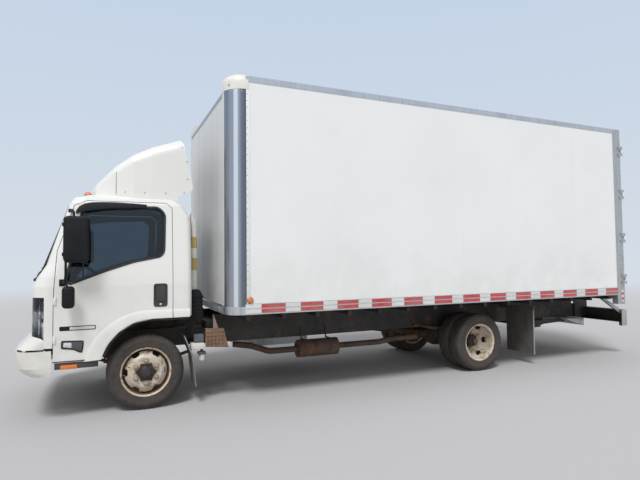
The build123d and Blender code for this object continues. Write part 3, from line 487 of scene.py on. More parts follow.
finishes = {finish.name: finish.done() for finish in (
    Finish("cabPaint", (0.80, 0.80, 0.77), 0.28, Coat_Weight=0.6, Coat_Roughness=0.08)
    .mottle(1.6, 0.45, 0.8, (0.72, 0.71, 0.66), 0.45).dust(0.45, 1.5, 2.4, 0.5, (0.42, 0.38, 0.31))
    .mottle(70, 0.70, 0.76, (0.34, 0.30, 0.25), 0.6).dull("dust", 0.6).grain(420.0, 0.06, 0.0004),
    # front wall of the box: its white set darker than the side panels', painted shade of the cab and fairing
    # before it; streaks of grime, and darker towards the bottom
    Finish("frontWallPaint", (0.70, 0.71, 0.71), 0.42)
    .streaks(16.0, 0.28, 0.45, 0.8, (0.47, 0.46, 0.43), 0.6)
    .streaks(9.0, 0.15, 0.55, 0.75, (0.62, 0.55, 0.48), 0.45)
    .dust(1.0, 2.2, 3.0, 0.55, (0.42, 0.39, 0.34)).grain(90.0, 0.15, 0.001),
    Finish("galvanised", (0.50, 0.51, 0.51), 0.42, Metallic=0.75)
    .cells(42.0, (0.60, 0.61, 0.61), 0.25, "Color").streaks(24.0, 1.2, 0.5, 0.75, (0.33, 0.32, 0.30), 0.6)
    .rust(5.0, 0.62, 0.70, 0.6).dull("streaks", 0.62).grain(120.0, 0.2, 0.0008),
    Finish("wheelPaint", (0.62, 0.56, 0.46), 0.5)  # rusty towards the hub, in the seams and along the edge
    .mottle(9, 0.42, 0.7, (0.45, 0.37, 0.27), 0.6).rust(14.0, 0.52, 0.62, 0.75)
    .worn(0.006, 25.0, (0.22, 0.10, 0.05), 0.9).dull("rust", 0.85).bump("rust", 0.35, 0.0015),
    Finish("wheelWell", (0.15, 0.11, 0.08), 0.8)  # painted shade of the deep barrel, over paint gone to rust and brake dust
    .rust(18.0, 0.35, 0.6, 0.8).mottle(12, 0.55, 0.75, (0.34, 0.27, 0.19), 0.6).pitted(120, 0.3, 0.001),
    Finish("tyreRubber", (0.040, 0.036, 0.034), 0.78)
    .mottle(7, 0.35, 0.75, (0.085, 0.066, 0.052), 0.85).mottle(46, 0.5, 0.75, (0.13, 0.10, 0.08), 0.45)
    .grain(240.0, 0.25, 0.0008),
    Finish("mudRubber", (0.085, 0.084, 0.082), 0.72)
    .streaks(18.0, 2.0, 0.42, 0.8, (0.16, 0.155, 0.145), 0.8).dust(0.2, 0.9, 4.0, 0.8, (0.20, 0.18, 0.15))
    .pitted(200, 0.25, 0.001),
    # the dark blue-grey tint is painted shade of the cab's inside seen through the glass
    Finish("cabGlass", (0.17, 0.23, 0.28), 0.02, Transmission_Weight=1.0, IOR=1.05, Specular_IOR_Level=0.9,
           Coat_Weight=1.0, Coat_Roughness=0.03)
    .mottle(2.5, 0.45, 0.8, shade((0.17, 0.23, 0.28), 0.92), 0.5).dull("mottle", 0.06),
    Finish("floorWood", (0.27, 0.17, 0.09), 0.6)
    .mottle(2.0, 0.3, 0.7, (0.16, 0.095, 0.05), 0.75, stretch=(1.5, 40, 40))
    .mottle(3.0, 0.55, 0.8, (0.20, 0.17, 0.13), 0.7).pitted(2.0, 0.3, 0.001, stretch=(1.5, 40, 40)),
    Finish("seatFabric", (0.085, 0.09, 0.10), 0.9, Sheen_Weight=0.3)
    .cells(420.0, (0.17, 0.18, 0.20), 0.9).mottle(5, 0.45, 0.8, (0.13, 0.12, 0.11), 0.5)
    .bump("cells", 0.6, 0.0015),
    Finish("hubIron", (0.040, 0.028, 0.022), 0.76, Metallic=0.3)
    .rust(30.0, 0.45, 0.70, 0.4).worn(0.003, 80.0, (0.26, 0.20, 0.17), 0.8).pitted(150, 0.4, 0.0012),
    Finish("hubCap", (0.050, 0.043, 0.044), 0.55, Metallic=0.45)
    .mottle(30, 0.45, 0.7, (0.10, 0.075, 0.07), 0.7).mottle(90, 0.55, 0.65, (0.16, 0.13, 0.12), 0.5)
    .worn(0.003, 70.0, (0.22, 0.18, 0.16), 0.6),
    Finish("mirrorGlass", (0.80, 0.84, 0.86), 0.03, Metallic=1.0)
    .mottle(9.0, 0.5, 0.8, (0.62, 0.65, 0.66), 0.6).dull("mottle", 0.16),
    Finish("screenBorder", (0.010, 0.010, 0.011), 0.12, Coat_Weight=1.0, Coat_Roughness=0.02)
    .mottle(6, 0.5, 0.8, (0.03, 0.03, 0.032), 0.6).smear(8, 0.45, 0.8, 0.25),
    postAluminium(), lampGlass(), boxPanel("boxPanel"), boxPanel("rearDoors"),
    aluminium("railAluminium", (0.66, 0.67, 0.68), 0.38, (0.4, 6, 6)),
    aluminium("fuelTank", (0.52, 0.53, 0.54), 0.45, (1, 1, 1)),
    aluminium("brightTrim", (0.78, 0.79, 0.80), 0.16, (1, 1, 1)),
    darkSteel("chassisBlack", (0.022, 0.021, 0.020), 0.55, 0.58, 0.35),
    darkSteel("castIron", (0.045, 0.038, 0.032), 0.75, 0.48, 0.5),
    darkSteel("springSteel", (0.05, 0.038, 0.030), 0.8, 0.42, 0.5),
    darkSteel("exhaustSteel", (0.055, 0.042, 0.035), 0.75, 0.46, 0.3),
    plastic("trimPlastic", (0.020, 0.020, 0.021), 0.5),
    plastic("cabFloorPaint", (0.10, 0.10, 0.10), 0.7, 80.0, 0.6),
    lens("amberLens", (0.85, 0.20, 0.02), Emission_Color=(0.85, 0.20, 0.02, 1), Emission_Strength=0.06),
    lens("redLens", (0.45, 0.01, 0.01)), lens("clearLens", (0.75, 0.76, 0.78)),
    lens("greyLens", (0.30, 0.31, 0.33)), lens("darkLens", (0.060, 0.064, 0.070)),
    tapeSheet("tapeRed", (0.42, 0.014, 0.022), (0.62, 0.050, 0.055)),
    tapeSheet("tapeSilver", (0.66, 0.67, 0.66), (0.86, 0.86, 0.84)),
    matt("capPlastic", (0.78, 0.77, 0.71), (0.66, 0.64, 0.57), 0.42, 6.0),
    matt("darkRubber", (0.018, 0.018, 0.018), (0.05, 0.048, 0.045), 0.7),
    matt("badgeStrip", (0.70, 0.70, 0.69), (0.62, 0.62, 0.61), 0.35, 20.0),
    matt("plateBlank", (0.74, 0.74, 0.72), (0.66, 0.66, 0.63), 0.4, 14.0),
    matt("stepSteel", (0.34, 0.34, 0.34), (0.22, 0.21, 0.20), 0.55, 9.0),
    matt("mirrorBlack", (0.008, 0.008, 0.009), (0.016, 0.016, 0.017), 0.55, 8.0, 0.12, 0.22),
    matt("ductCream", (0.62, 0.61, 0.56), (0.50, 0.48, 0.42), 0.45, 7.0),
    matt("ductBand", (0.42, 0.31, 0.09), (0.30, 0.22, 0.07), 0.4, 10.0),
    matt("roofPanel", (0.60, 0.61, 0.61), (0.46, 0.46, 0.44), 0.5, 1.6),
    matt("lampHousing", (0.50, 0.51, 0.53), (0.36, 0.37, 0.39), 0.35, 12.0, 0.3),
    matt("nutDull", (0.40, 0.34, 0.27), (0.14, 0.09, 0.06), 0.6, 45.0),
    matt("filterBlue", (0.070, 0.080, 0.110), (0.13, 0.14, 0.17), 0.5, 16.0),
    matt("shieldRust", (0.165, 0.088, 0.048), (0.30, 0.15, 0.07), 0.8, 22.0),
    matt("dustySteel", (0.24, 0.165, 0.14), (0.33, 0.25, 0.22), 0.75, 14.0),
    matt("flapEdge", (0.36, 0.36, 0.35), (0.24, 0.23, 0.21), 0.6, 16.0),
)}

nodeFinishes = {  # finish: the CAD nodes that wear it
    "cabPaint": "cab_shell door_left door_right front_panel front_valance front_bumper roof_fairing",
    "boxPanel": "box_wall_left box_wall_right", "roofPanel": "box_roof", "frontWallPaint": "box_front_wall",
    "postAluminium": "box_corner_posts", "railAluminium": "box_rails", "galvanised": "box_rear_frame",
    "chassisBlack": "frame_rails frame_crossmembers box_subframe rear_bumper",
    "castIron": "powertrain rear_axle front_axle knuckle_left knuckle_right",
    "springSteel": "leaf_springs", "exhaustSteel": "exhaust", "shieldRust": "side_shield",
    "wheelPaint": "wheel_front_left wheel_front_right wheels_rear_left wheels_rear_right",
    "tyreRubber": "tyre_front_left tyre_front_right tyres_rear_left tyres_rear_right",
    "trimPlastic": "dashboard", "mirrorBlack": "mirror_left mirror_right", "ductCream": "air_intake",
    "mudRubber": "mud_guards", "cabGlass": "windscreen rear_window door_glass_left door_glass_right",
    "lampGlass": "headlamps", "amberLens": "marker_lamps", "floorWood": "box_floor", "seatFabric": "seats",
    "cabFloorPaint": "cab_floor", "fuelTank": "fuel_tank", "rearDoors": "rear_door_left rear_door_right",
}

for finishName, wearers in nodeFinishes.items():
    for wearer in wearers.split():
        slots = nodes[wearer].data.materials
        slots.clear()
        slots.append(finishes[finishName])
print("finishes made:", len(finishes))


# mesh tools

cabHeights = (0.56, 1.34, 1.44, 1.56, 1.99, 2.08, 2.20)
cabSides = list(zip(cabHeights, (1.030, 1.030, 1.022, 1.010, 0.955, 0.944, 0.928)))
cabNose = list(zip(cabHeights, (1.120, 1.115, 1.075, 1.000, 0.868, 0.835, 0.795)))
cabBulge = 0.050
sharpFrom = 0.5  # a fold over this angle, in radians, is bevelled


def between(table, z):
    # straight lines through a table of height and value
    for (z0, v0), (z1, v1) in zip(table, table[1:]):
        if z <= z1:
            return v0 + (v1 - v0) * max(0.0, (z - z0) / (z1 - z0))
    return table[-1][1]


def cabSideY(z):
    return between(cabSides, z)


def cabFrontX(y, z):
    radius = (cabSideY(z) ** 2 + cabBulge ** 2) / (2 * cabBulge)
    return between(cabNose, z) - radius + math.sqrt(radius ** 2 - y ** 2)


def skinFaces(rows, count, closed=False):
    # faces between rows of points, joined back to the first row or with capped ends
    faces = []
    for row in range(rows if closed else rows - 1):
        a, b = row * count, (row + 1) % rows * count
        faces += [(a + i, a + (i + 1) % count, b + (i + 1) % count, b + i) for i in range(count)]
    if not closed:
        last = (rows - 1) * count
        faces += [tuple(range(count)), tuple(range(last + count - 1, last - 1, -1))]
    return faces


def foldOf(edge):
    return edge.calc_face_angle() if len(edge.link_faces) == 2 else 0.0


class Piece:
    # one object under construction, given for the left side and mirrored when side is -1
    def __init__(self, name, body, side=1):
        self.name = name
        self.body = body
        self.side = side
        self.mesh = bmesh.new()
        self.finishNames = []

    def at(self, x, y, z):
        return station(x, self.side * y, z)

    def flank(self, x, z, lift):
        return self.at(x, cabSideY(z) + lift, z)

    def nose(self, y, z, lift):
        return self.at(cabFrontX(y, z) + lift, y, z)

    def tail(self, y, z, lift):
        return self.at(rearFace - lift, y, z)

    def slotOf(self, finish):
        if finish not in self.finishNames:
            self.finishNames.append(finish)
        return self.finishNames.index(finish)

    def add(self, points, faces, finish, bevel=0.0):
        slot = self.slotOf(finish)
        corners = [self.mesh.verts.new(p) for p in points]
        made = []
        for face in faces:
            made.append(self.mesh.faces.new([corners[i] for i in face]))
            made[-1].material_index = slot
        bmesh.ops.recalc_face_normals(self.mesh, faces=made)
        if bevel:
            edges = {edge for face in made for edge in face.edges}
            sharp = [edge for edge in edges if foldOf(edge) > sharpFrom]
            bmesh.ops.bevel(self.mesh, geom=sharp, offset=bevel, segments=2, affect="EDGES", profile=0.5,
                            material=-1)

    def sweep(self, sections, finish, bevel=0.0, closed=False):
        # skin through sections that all have as many points
        points = [p for section in sections for p in section]
        self.add(points, skinFaces(len(sections), len(sections[0]), closed), finish, bevel)

    def prism(self, outline, y0, y1, finish, bevel=0.0):
        # a side outline of (station, z), from y0 to y1
        self.sweep([[self.at(x, y, z) for x, z in outline] for y in (y0, y1)], finish, bevel)

    def block(self, low, high, finish, bevel=0.003):
        # low and high are (station, y, z)
        self.prism(plain(low[0], low[2], high[0], high[2]), low[1], high[1], finish, bevel)

    def laid(self, surface, outline, low, high, finish, bevel=0.0):
        # an outline laid on a surface, between two lifts off it
        self.sweep([[surface(a, b, lift) for a, b in outline] for lift in (low, high)], finish, bevel)

    def rim(self, surface, outline, out, inward, low, high, finish):
        # a band along an outline laid on a surface
        outer, inner = grown(outline, out), grown(outline, -inward)
        loops = ((outer, low), (outer, high), (inner, high), (inner, low))
        self.sweep([[surface(a, b, lift) for a, b in loop] for loop, lift in loops], finish, closed=True)

    def lathe(self, profile, x, y, finish, steps, facing=1, notch=None, other=None):
        # a closed profile of (radius, distance out) turned about a wheel's axle; other is (rows, finish)
        rows, every, depth = notch or ((), 1, 0.0)
        sections = []
        for step in range(steps):
            section = []
            for row, (radius, out) in enumerate(profile):
                cut = depth if row in rows and step % every == 0 else 0.0
                dx, dz = polar(radius - cut, 360 * step / steps)
                section.append(station(x + dx, y + facing * out, wheelSizes["axleHeight"] + dz))
            sections.append(section)
        before = len(self.mesh.faces)
        self.sweep(sections, finish, closed=True)
        if other:
            slot = self.slotOf(other[1])
            for index, face in enumerate(list(self.mesh.faces)[before:]):
                if index % len(profile) in other[0]:
                    face.material_index = slot

    def spindle(self, profile, start, axis, finish, steps=24):
        # an open profile of (radius, distance) turned about an axis; its ends have no radius
        axis = Vector((axis[0], self.side * axis[1], axis[2])).normalized()
        across = axis.orthogonal().normalized()
        third = axis.cross(across)
        origin = self.at(*start)
        rings = profile[1:-1]
        points = [origin + axis * profile[0][1]]
        for radius, distance in rings:
            for step in range(steps):
                a, b = polar(radius, 360 * step / steps)
                points.append(origin + axis * distance + across * a + third * b)
        points.append(origin + axis * profile[-1][1])
        faces = [tuple(1 + i for i in face) for face in skinFaces(len(rings), steps)[:-2]]
        last = 1 + (len(rings) - 1) * steps
        for step in range(steps):
            after = (step + 1) % steps
            faces += [(0, 1 + after, 1 + step), (last + step, last + after, len(points) - 1)]
        self.add(points, faces, finish)

    def knob(self, profile, start, axis, finish, steps=24):
        # a spindle whose flat ends are given without their middle points
        self.spindle([(0, profile[0][1]), *profile, (0, profile[-1][1])], start, axis, finish, steps)

    def tube(self, stations, radius, finish, sides=10):
        # a round bar through points, mitred at each of them
        path = [self.at(*p) for p in stations]
        sections = []
        across = (path[1] - path[0]).orthogonal().normalized()
        for index, point in enumerate(path):
            ahead = (path[min(index + 1, len(path) - 1)] - path[max(index - 1, 0)]).normalized()
            across = (across - ahead * across.dot(ahead)).normalized()
            third = ahead.cross(across)
            ring = [polar(radius, 360 * step / sides) for step in range(sides)]
            sections.append([point + across * a + third * b for a, b in ring])
        self.sweep(sections, finish)

    def done(self, replaces=(), smoothBelow=0.6):
        return placed(self.name, self.body, self.mesh, self.finishNames, smoothBelow, replaces)


def placed(name, body, shaped, finishNames, smoothBelow, replaces=()):
    # a finished bmesh becomes an object that rides on its body
    for edge in shaped.edges:
        edge.smooth = len(edge.link_faces) == 2 and edge.calc_face_angle() < smoothBelow
    for face in shaped.faces:
        face.smooth = True
    mesh = bpy.data.meshes.new(name)
    shaped.to_mesh(mesh)
    shaped.free()
    for finish in finishNames:
        mesh.materials.append(finishes[finish])
    made = linked(name, mesh)
    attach(made, body)
    if replaces:
        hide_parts(*replaces)
    return made


def plain(a0, b0, a1, b1):
    return [(a0, b0), (a1, b0), (a1, b1), (a0, b1)]


def rounded(outline, radius, steps=3):
    # the same outline with each corner turned into a short arc
    out = []
    for i, corner in enumerate(map(Vector, outline)):
        before = Vector(outline[i - 1]) - corner
        after = Vector(outline[(i + 1) % len(outline)]) - corner
        reach = min(radius, before.length * 0.45, after.length * 0.45)
        start = corner + before.normalized() * reach
        end = corner + after.normalized() * reach
        for step in range(steps + 1):
            t = step / steps
            out.append(tuple((1 - t) ** 2 * start + 2 * t * (1 - t) * corner + t ** 2 * end))
    return out


def grown(outline, distance):
    # every point pushed out from the outline, along the mean of its two edges' normals
    count = len(outline)
    area = sum(outline[i - 1][0] * outline[i][1] - outline[i][0] * outline[i - 1][1] for i in range(count))
    turn = 1 if area > 0 else -1
    out = []
    for i in range(count):
        a, b, c = Vector(outline[i - 1]), Vector(outline[i]), Vector(outline[(i + 1) % count])
        ways = (b - a).normalized() + (c - b).normalized()
        out.append(tuple(b + Vector((ways.y, -ways.x)).normalized() * turn * distance))
    return out


# copies in a row, made by geometry nodes

rowInputs = {"Geometry": "Geometry", "Unit": "Object", "Count": "Int", "First": "Vector", "Step": "Vector",
             "Wobble": "Float", "Finish": "Material"}
rowTree = bpy.data.node_groups.new("rowOfCopies", "GeometryNodeTree")
socketIds = {}
for label, kind in rowInputs.items():
    socket = rowTree.interface.new_socket(label, in_out="INPUT", socket_type="NodeSocket" + kind)
    socketIds[label] = socket.identifier
rowTree.interface.new_socket("Geometry", in_out="OUTPUT", socket_type="NodeSocketGeometry")
fillTree(
    rowTree,
    {"given": part("NodeGroupInput"), "put": part("NodeGroupOutput"),
     "row": part("GeometryNodeMeshLine", mode="OFFSET"), "unit": part("GeometryNodeObjectInfo"),
     "chance": part("FunctionNodeRandomValue", {"Min": (-1, -1, -1), "Max": (1, 1, 1), "Seed": 7},
                    data_type="FLOAT_VECTOR"),
     "scaled": part("VectorMath", operation="SCALE"), "moved": part("GeometryNodeSetPosition"),
     "copies": part("GeometryNodeInstanceOnPoints"), "real": part("GeometryNodeRealizeInstances"),
     "coat": part("GeometryNodeSetMaterial")},
    ["given.Count > row.Count", "given.First > row.Start Location", "given.Step > row.Offset",
     "row.Mesh > moved.Geometry", "chance.Value > scaled.0", "given.Wobble > scaled.Scale",
     "scaled.Vector > moved.Offset", "moved.Geometry > copies.Points", "given.Unit > unit.Object",
     "unit.Geometry > copies.Instance", "copies.Instances > real.Geometry", "real.Geometry > coat.Geometry",
     "given.Finish > coat.Material", "coat.Geometry > put.Geometry"])


def unitMesh(name, points, faces):
    mesh = bpy.data.meshes.new(name)
    mesh.from_pydata(points, [], faces)
    shaped = bmesh.new()
    shaped.from_mesh(mesh)
    bmesh.ops.recalc_face_normals(shaped, faces=shaped.faces)
    shaped.to_mesh(mesh)
    shaped.free()
    return mesh


def rowsOf(name, body, unit, rows, wobble=0.0):
    # rows are (first point, step, count, finish); every row becomes part of one plain mesh
    source = linked(name + "Unit", unit)
    joined = bmesh.new()
    finishNames = []
    for first, step, count, finish in rows:
        if finish not in finishNames:
            finishNames.append(finish)
        holder = linked(name + "Row", bpy.data.meshes.new(name + "Row"))
        modifier = holder.modifiers.new("row", "NODES")
        modifier.node_group = rowTree
        given = {"Unit": source, "Count": count, "First": station(*first), "Step": Vector(step),
                 "Wobble": wobble, "Finish": finishes[finish]}
        for label, value in given.items():
            modifier[socketIds[label]] = value
        graph = bpy.context.evaluated_depsgraph_get()
        made = bpy.data.meshes.new_from_object(holder.evaluated_get(graph))
        holder.modifiers.clear()
        before = len(joined.faces)
        joined.from_mesh(made)
        joined.faces.ensure_lookup_table()
        for face in joined.faces[before:]:
            face.material_index = finishNames.index(finish)
        bpy.data.objects.remove(holder)
        bpy.data.meshes.remove(made)
    bpy.data.objects.remove(source)
    return placed(name, body, joined, finishNames, 0.7)


def slabUnit(name, length, height, thick):
    # a flat plate with a small chamfer round its outer face, standing along X with its back on y = 0
    x, z, c = length / 2, height / 2, min(thick * 0.6, 0.002)
    layers = ((x, z, 0), (x - c, z - c, thick))
    points = [(sx * a, y, sz * b) for a, b, y in layers for sx, sz in ((-1, -1), (1, -1), (1, 1), (-1, 1))]
    return unitMesh(name, points, skinFaces(2, 4))


def domeUnit(name, radius, rise, side=1, forward=False, sides=8):
    # a round rivet head that rises to one side, or forwards
    points = []
    for r, h in ((radius, 0.0), (radius * 0.82, rise * 0.62)):
        points += [(x, side * h, z) for x, z in (polar(r, 360 * step / sides) for step in range(sides))]
    points.append((0, side * rise, 0))
    if forward:
        points = [(y, x, z) for x, y, z in points]
    faces = [tuple(range(sides)), *skinFaces(2, sides)[:-2]]
    faces += [(sides + i, sides + (i + 1) % sides, 2 * sides) for i in range(sides)]
    return unitMesh(name, points, faces)


# wheels and tyres

wheelSizes = {"halfWidth": 0.099, "rim": 0.264, "barrel": 0.236, "nutCircle": 0.120, "hub": 0.084,
              "holeCircle": 0.208, "holeLength": 0.084, "holeWidth": 0.046, "axleHeight": 0.400, "steps": 96,
              "frontWheelY": 0.832, "frontDisc": 0.098, "twinSpacing": 0.254}
tyreSizes = {"radius": 0.400, "halfWidth": 0.113, "bead": 0.087, "grooves": (-0.062, -0.022, 0.022, 0.062),
             "grooveWidth": 0.008, "grooveDepth": 0.010, "steps": 120, "notchEvery": 4, "notchDepth": 0.007}


def rimProfile(disc, hubIn, hubOut):
    half, rim, barrel, hub = (wheelSizes[k] for k in ("halfWidth", "rim", "barrel", "hub"))
    return [(rim, -half), (rim - 0.016, -half + 0.012), (rim - 0.016, half - 0.012),
            (rim - 0.003, half - 0.002), (rim, half), (rim - 0.006, half + 0.001),
            (barrel + 0.008, half - 0.010), (barrel, half - 0.030), (barrel, disc - 0.092),
            (0.2285, disc - 0.064), (0.217, disc - 0.046),
            (0.190, disc - 0.026), (0.170, disc - 0.008), (0.160, disc), (hub + 0.004, disc), (hub, hubOut),
            (0.040, hubOut), (0.040, hubIn), (hub, hubIn), (hub + 0.004, disc - 0.012), (0.156, disc - 0.012),
            (0.210, disc - 0.056), (0.221, disc - 0.070), (0.2265, disc - 0.102),
            (barrel - 0.002, disc - 0.108), (barrel - 0.002, -half + 0.016)]


def tyreProfile():
    half, radius, bead = tyreSizes["halfWidth"], tyreSizes["radius"], tyreSizes["bead"]
    side = [(0.248, bead), (0.268, half - 0.014), (0.272, half - 0.006), (0.292, half - 0.003), (0.326, half),
            (0.330, half + 0.0015), (0.350, half - 0.001), (radius - 0.034, half - 0.008),
            (radius - 0.014, half - 0.020), (radius - 0.006, half - 0.030)]
    tread = []
    width, depth = tyreSizes["grooveWidth"] / 2, tyreSizes["grooveDepth"]
    for middle in reversed(tyreSizes["grooves"]):
        crown = radius - 0.004 * (middle / 0.062) ** 2
        tread += [(crown, middle + width), (crown - depth, middle + width * 0.6),
                  (crown - depth, middle - width * 0.6), (crown, middle - width)]
    return side + tread + [(r, -out) for r, out in reversed(side)]


def makeTyre(name, body, replaced, x, places):
    piece = Piece(name, body)
    profile = tyreProfile()
    shoulders = (8, 9, len(profile) - 10, len(profile) - 9)
    for y in places:
        piece.lathe(profile, x, y, "tyreRubber", tyreSizes["steps"],
                    notch=(shoulders, tyreSizes["notchEvery"], tyreSizes["notchDepth"]))
    piece.done([replaced], 0.5)


def cutHoles(target, x, y):
    # six oblong hand holes through the disc, with a cutter that is thrown away
    cutter = Piece("holeCutter", None)
    long, wide = wheelSizes["holeLength"] / 2, wheelSizes["holeWidth"] / 2
    outline = []
    for end in (1, -1):
        for a, b in (polar(wide, 30 * step - 90) for step in range(7)):
            outline.append((end * (long - wide + a), end * b))
    for turn in range(0, 360, 60):
        cx, cz = polar(1, turn)
        across, outward = Vector((-cz, 0, cx)), Vector((cx, 0, cz))
        middle = station(x, y, wheelSizes["axleHeight"]) + outward * wheelSizes["holeCircle"]
        cutter.sweep([[middle + across * a + outward * b + Vector((0, lift, 0)) for a, b in outline]
                      for lift in (-0.075, 0.075)], "wheelPaint")
    mesh = bpy.data.meshes.new(cutter.name)
    cutter.mesh.to_mesh(mesh)
    cutter.mesh.free()
    tool = linked(cutter.name, mesh)
    modifier = target.modifiers.new("holes", "BOOLEAN")
    modifier.operation = "DIFFERENCE"
    modifier.solver = "EXACT"
    modifier.object = tool
    graph = bpy.context.evaluated_depsgraph_get()
    holed = bpy.data.meshes.new_from_object(target.evaluated_get(graph))
    target.modifiers.clear()
    target.data = holed
    bpy.data.objects.remove(tool)


def addHubParts(piece, x, y, disc):
    # nuts and the star-shaped flange between them, on a disc face at y + disc
    z = wheelSizes["axleHeight"]
    out = (0, 1, 0)
    for turn in range(30, 360, 60):
        dx, dz = polar(wheelSizes["nutCircle"], turn)
        start = (x + dx, y + disc, z + dz)
        piece.knob([(0.030, -0.002), (0.030, 0.004), (0.024, 0.006)], start, out, "nutDull")
        piece.knob([(0.0235, 0.004), (0.0235, 0.018), (0.020, 0.023)], start, out, "nutDull", 6)
        stud = [(0, 0.020), (0.016, 0.020), (0.0155, 0.032), (0.010, 0.038), (0.004, 0.040), (0, 0.0405)]
        piece.spindle(stud, start, out, "nutDull", 16)
    points = (polar(0.084 if turn % 2 else 0.112, 30 * turn) for turn in range(12))
    star = rounded([(x + dx, z + dz) for dx, dz in points], 0.012)
    piece.prism(star, y + disc - 0.004, y + disc + 0.013, "hubIron", 0.003)


def makeFrontWheel(side, name):
    y, z, disc = wheelSizes["frontWheelY"], wheelSizes["axleHeight"], wheelSizes["frontDisc"]
    ring = Piece("steelWheel_front_" + name, "front_wheel_" + name)
    # the barrel's rows wear painted shade over rust
    ring.lathe(rimProfile(disc, -0.030, disc + 0.006), 0.0, side * y, "wheelPaint", wheelSizes["steps"], side,
               other=((6, 7, 8, 9), "wheelWell"))
    cutHoles(ring.done(["wheel_front_" + name]), 0.0, side * (y + disc - 0.05))
    hub = Piece("hub_front_" + name, "front_wheel_" + name, side)
    addHubParts(hub, 0.0, y, disc)
    cap = [(0, 0.004), (0.066, 0.004), (0.066, 0.012), (0.058, 0.020), (0.056, 0.030), (0.050, 0.036),
           (0.036, 0.038), (0.034, 0.043), (0, 0.044)]
    hub.spindle(cap, (0.0, y + disc, z), (0, 1, 0), "hubCap", 32)
    drum = [(0.150, -0.120), (0.196, -0.105), (0.200, -0.020), (0.186, -0.008)]
    hub.knob(drum, (0.0, y, z), (0, 1, 0), "castIron", 40)
    valve = ((0.165, 0.094, 0.062), (0.172, 0.110, 0.066), (0.186, 0.126, 0.072))
    hub.tube([(dx, y + dy, z + dz) for dx, dy, dz in valve], 0.004, "hubIron", 8)
    hub.done()


def makeRearWheels(side, name):
    x, y, z, half = rearStation, rearWheelY, wheelSizes["axleHeight"], wheelSizes["twinSpacing"] / 2
    disc = half - 0.002
    for place, facing, label in ((y - half, side, "inner"), (y + half, -side, "outer")):
        ring = Piece(f"steelWheel_rear_{label}_{name}", "rear_wheels_" + name)
        # the inner wheel's barrel rows wear painted shade over rust
        ring.lathe(rimProfile(disc, disc - 0.02, disc + 0.002), x, side * place, "wheelPaint",
                   wheelSizes["steps"], facing, other=((7, 8), "wheelWell") if label == "inner" else None)
        gone = ["wheels_rear_" + name] if label == "outer" else []
        cutHoles(ring.done(gone), x, side * place + facing * (disc - 0.05))
    hub = Piece("hub_rear_" + name, "rear_wheels_" + name, side)
    addHubParts(hub, x, y, 0.012)
    shaft = [(0.083, -0.030), (0.083, 0.060), (0.076, 0.070), (0.066, 0.074), (0.064, 0.092), (0.056, 0.098),
             (0, 0.100)]
    hub.spindle([(0, -0.030), *shaft], (x, y, z), (0, 1, 0), "hubCap", 32)
    for turn in range(20, 380, 45):
        dx, dz = polar(0.050, turn)
        hub.knob([(0.008, 0), (0.008, 0.008)], (x + dx, y + 0.096, z + dz), (0, 1, 0), "hubIron", 6)
    drum = [(0.150, -0.235), (0.196, -0.220), (0.200, -0.060), (0.186, -0.030)]
    hub.knob(drum, (x, y, z), (0, 1, 0), "castIron", 40)
    hub.done()


for side, name in sideNames:
    makeTyre("roadTyre_front_" + name, "front_wheel_" + name, "tyre_front_" + name, 0.0,
             [side * wheelSizes["frontWheelY"]])
    makeTyre("roadTyres_rear_" + name, "rear_wheels_" + name, "tyres_rear_" + name, rearStation,
             [side * (rearWheelY + half * wheelSizes["twinSpacing"] / 2) for half in (-1, 1)])
    makeFrontWheel(side, name)
    makeRearWheels(side, name)
print("wheels and tyres made")


# reflective tape, rivets, caps and trim on the box

tape = {"firstRed": -1.178, "pitch": 0.4672, "redLength": 0.284, "count": 13, "rowHeights": (1.026, 1.080),
        "rowHeight": 0.044, "thick": 0.0012, "gap": 0.002}
boxPlaces = {"front": -0.796, "cornerRadius": 0.210, "bandTop": 1.110, "topRail": 3.586, "top": 3.653,
             "rearPost": -7.060}
rivets = {"radius": 0.006, "rise": 0.003, "railPitch": 0.102, "postPitch": 0.0762, "postFrom": 1.16}
bend = {"x": boxPlaces["front"] - boxPlaces["cornerRadius"], "y": boxHalf - boxPlaces["cornerRadius"]}


def makeTape(side, name):
    silverLength = tape["pitch"] - tape["redLength"]
    for finish, length, middle in (("Red", tape["redLength"], -tape["redLength"] / 2),
                                   ("Silver", silverLength, silverLength / 2)):
        strip = slabUnit(finish.lower() + "Strip", length - tape["gap"], tape["rowHeight"],
                         side * tape["thick"])
        rowsOf(f"tape{finish}_{name}", "chassis", strip,
               [((tape["firstRed"] + middle, side * (boxHalf + 0.0002), height), (-tape["pitch"], 0, 0),
                 tape["count"], "tape" + finish) for height in tape["rowHeights"]])


def makeRivets(side, name):
    head = domeUnit("rivetHead", rivets["radius"], rivets["rise"], side)
    y = side * (boxHalf + 0.0001)
    start, end = bend["x"] - 0.06, boxPlaces["rearPost"] + 0.05
    count = int((start - end) / rivets["railPitch"])
    along, up = (-rivets["railPitch"], 0, 0), (0, 0, rivets["postPitch"])
    rows = [((start, y, boxPlaces["topRail"] + 0.016), along, count, "railAluminium"),
            ((start, y, boxPlaces["top"] - 0.016), along, count // 2 * 2, "railAluminium"),
            ((start, side * (boxHalf - 0.005), boxPlaces["bandTop"] + 0.018), along, count, "boxPanel")]
    for x in (bend["x"] - 0.018, boxPlaces["rearPost"] - 0.03, boxPlaces["rearPost"] - 0.13):
        rows.append(((x, y, rivets["postFrom"]), up, 31, "postAluminium"))
    rowsOf("rivets_" + name, "chassis", head, rows)


def makeFrontRivets():
    head = domeUnit("frontRivetHead", rivets["radius"], rivets["rise"], forward=True)
    x = boxPlaces["front"] + 0.0001
    rows = [((x, y, 1.14), (0, 0, rivets["postPitch"]), 29, "postAluminium") for y in (-1.068, 1.068)]
    rows.append(((x, -1.0, 1.045), (0, 0.1, 0), 21, "railAluminium"))
    rowsOf("rivets_front", "chassis", head, rows)


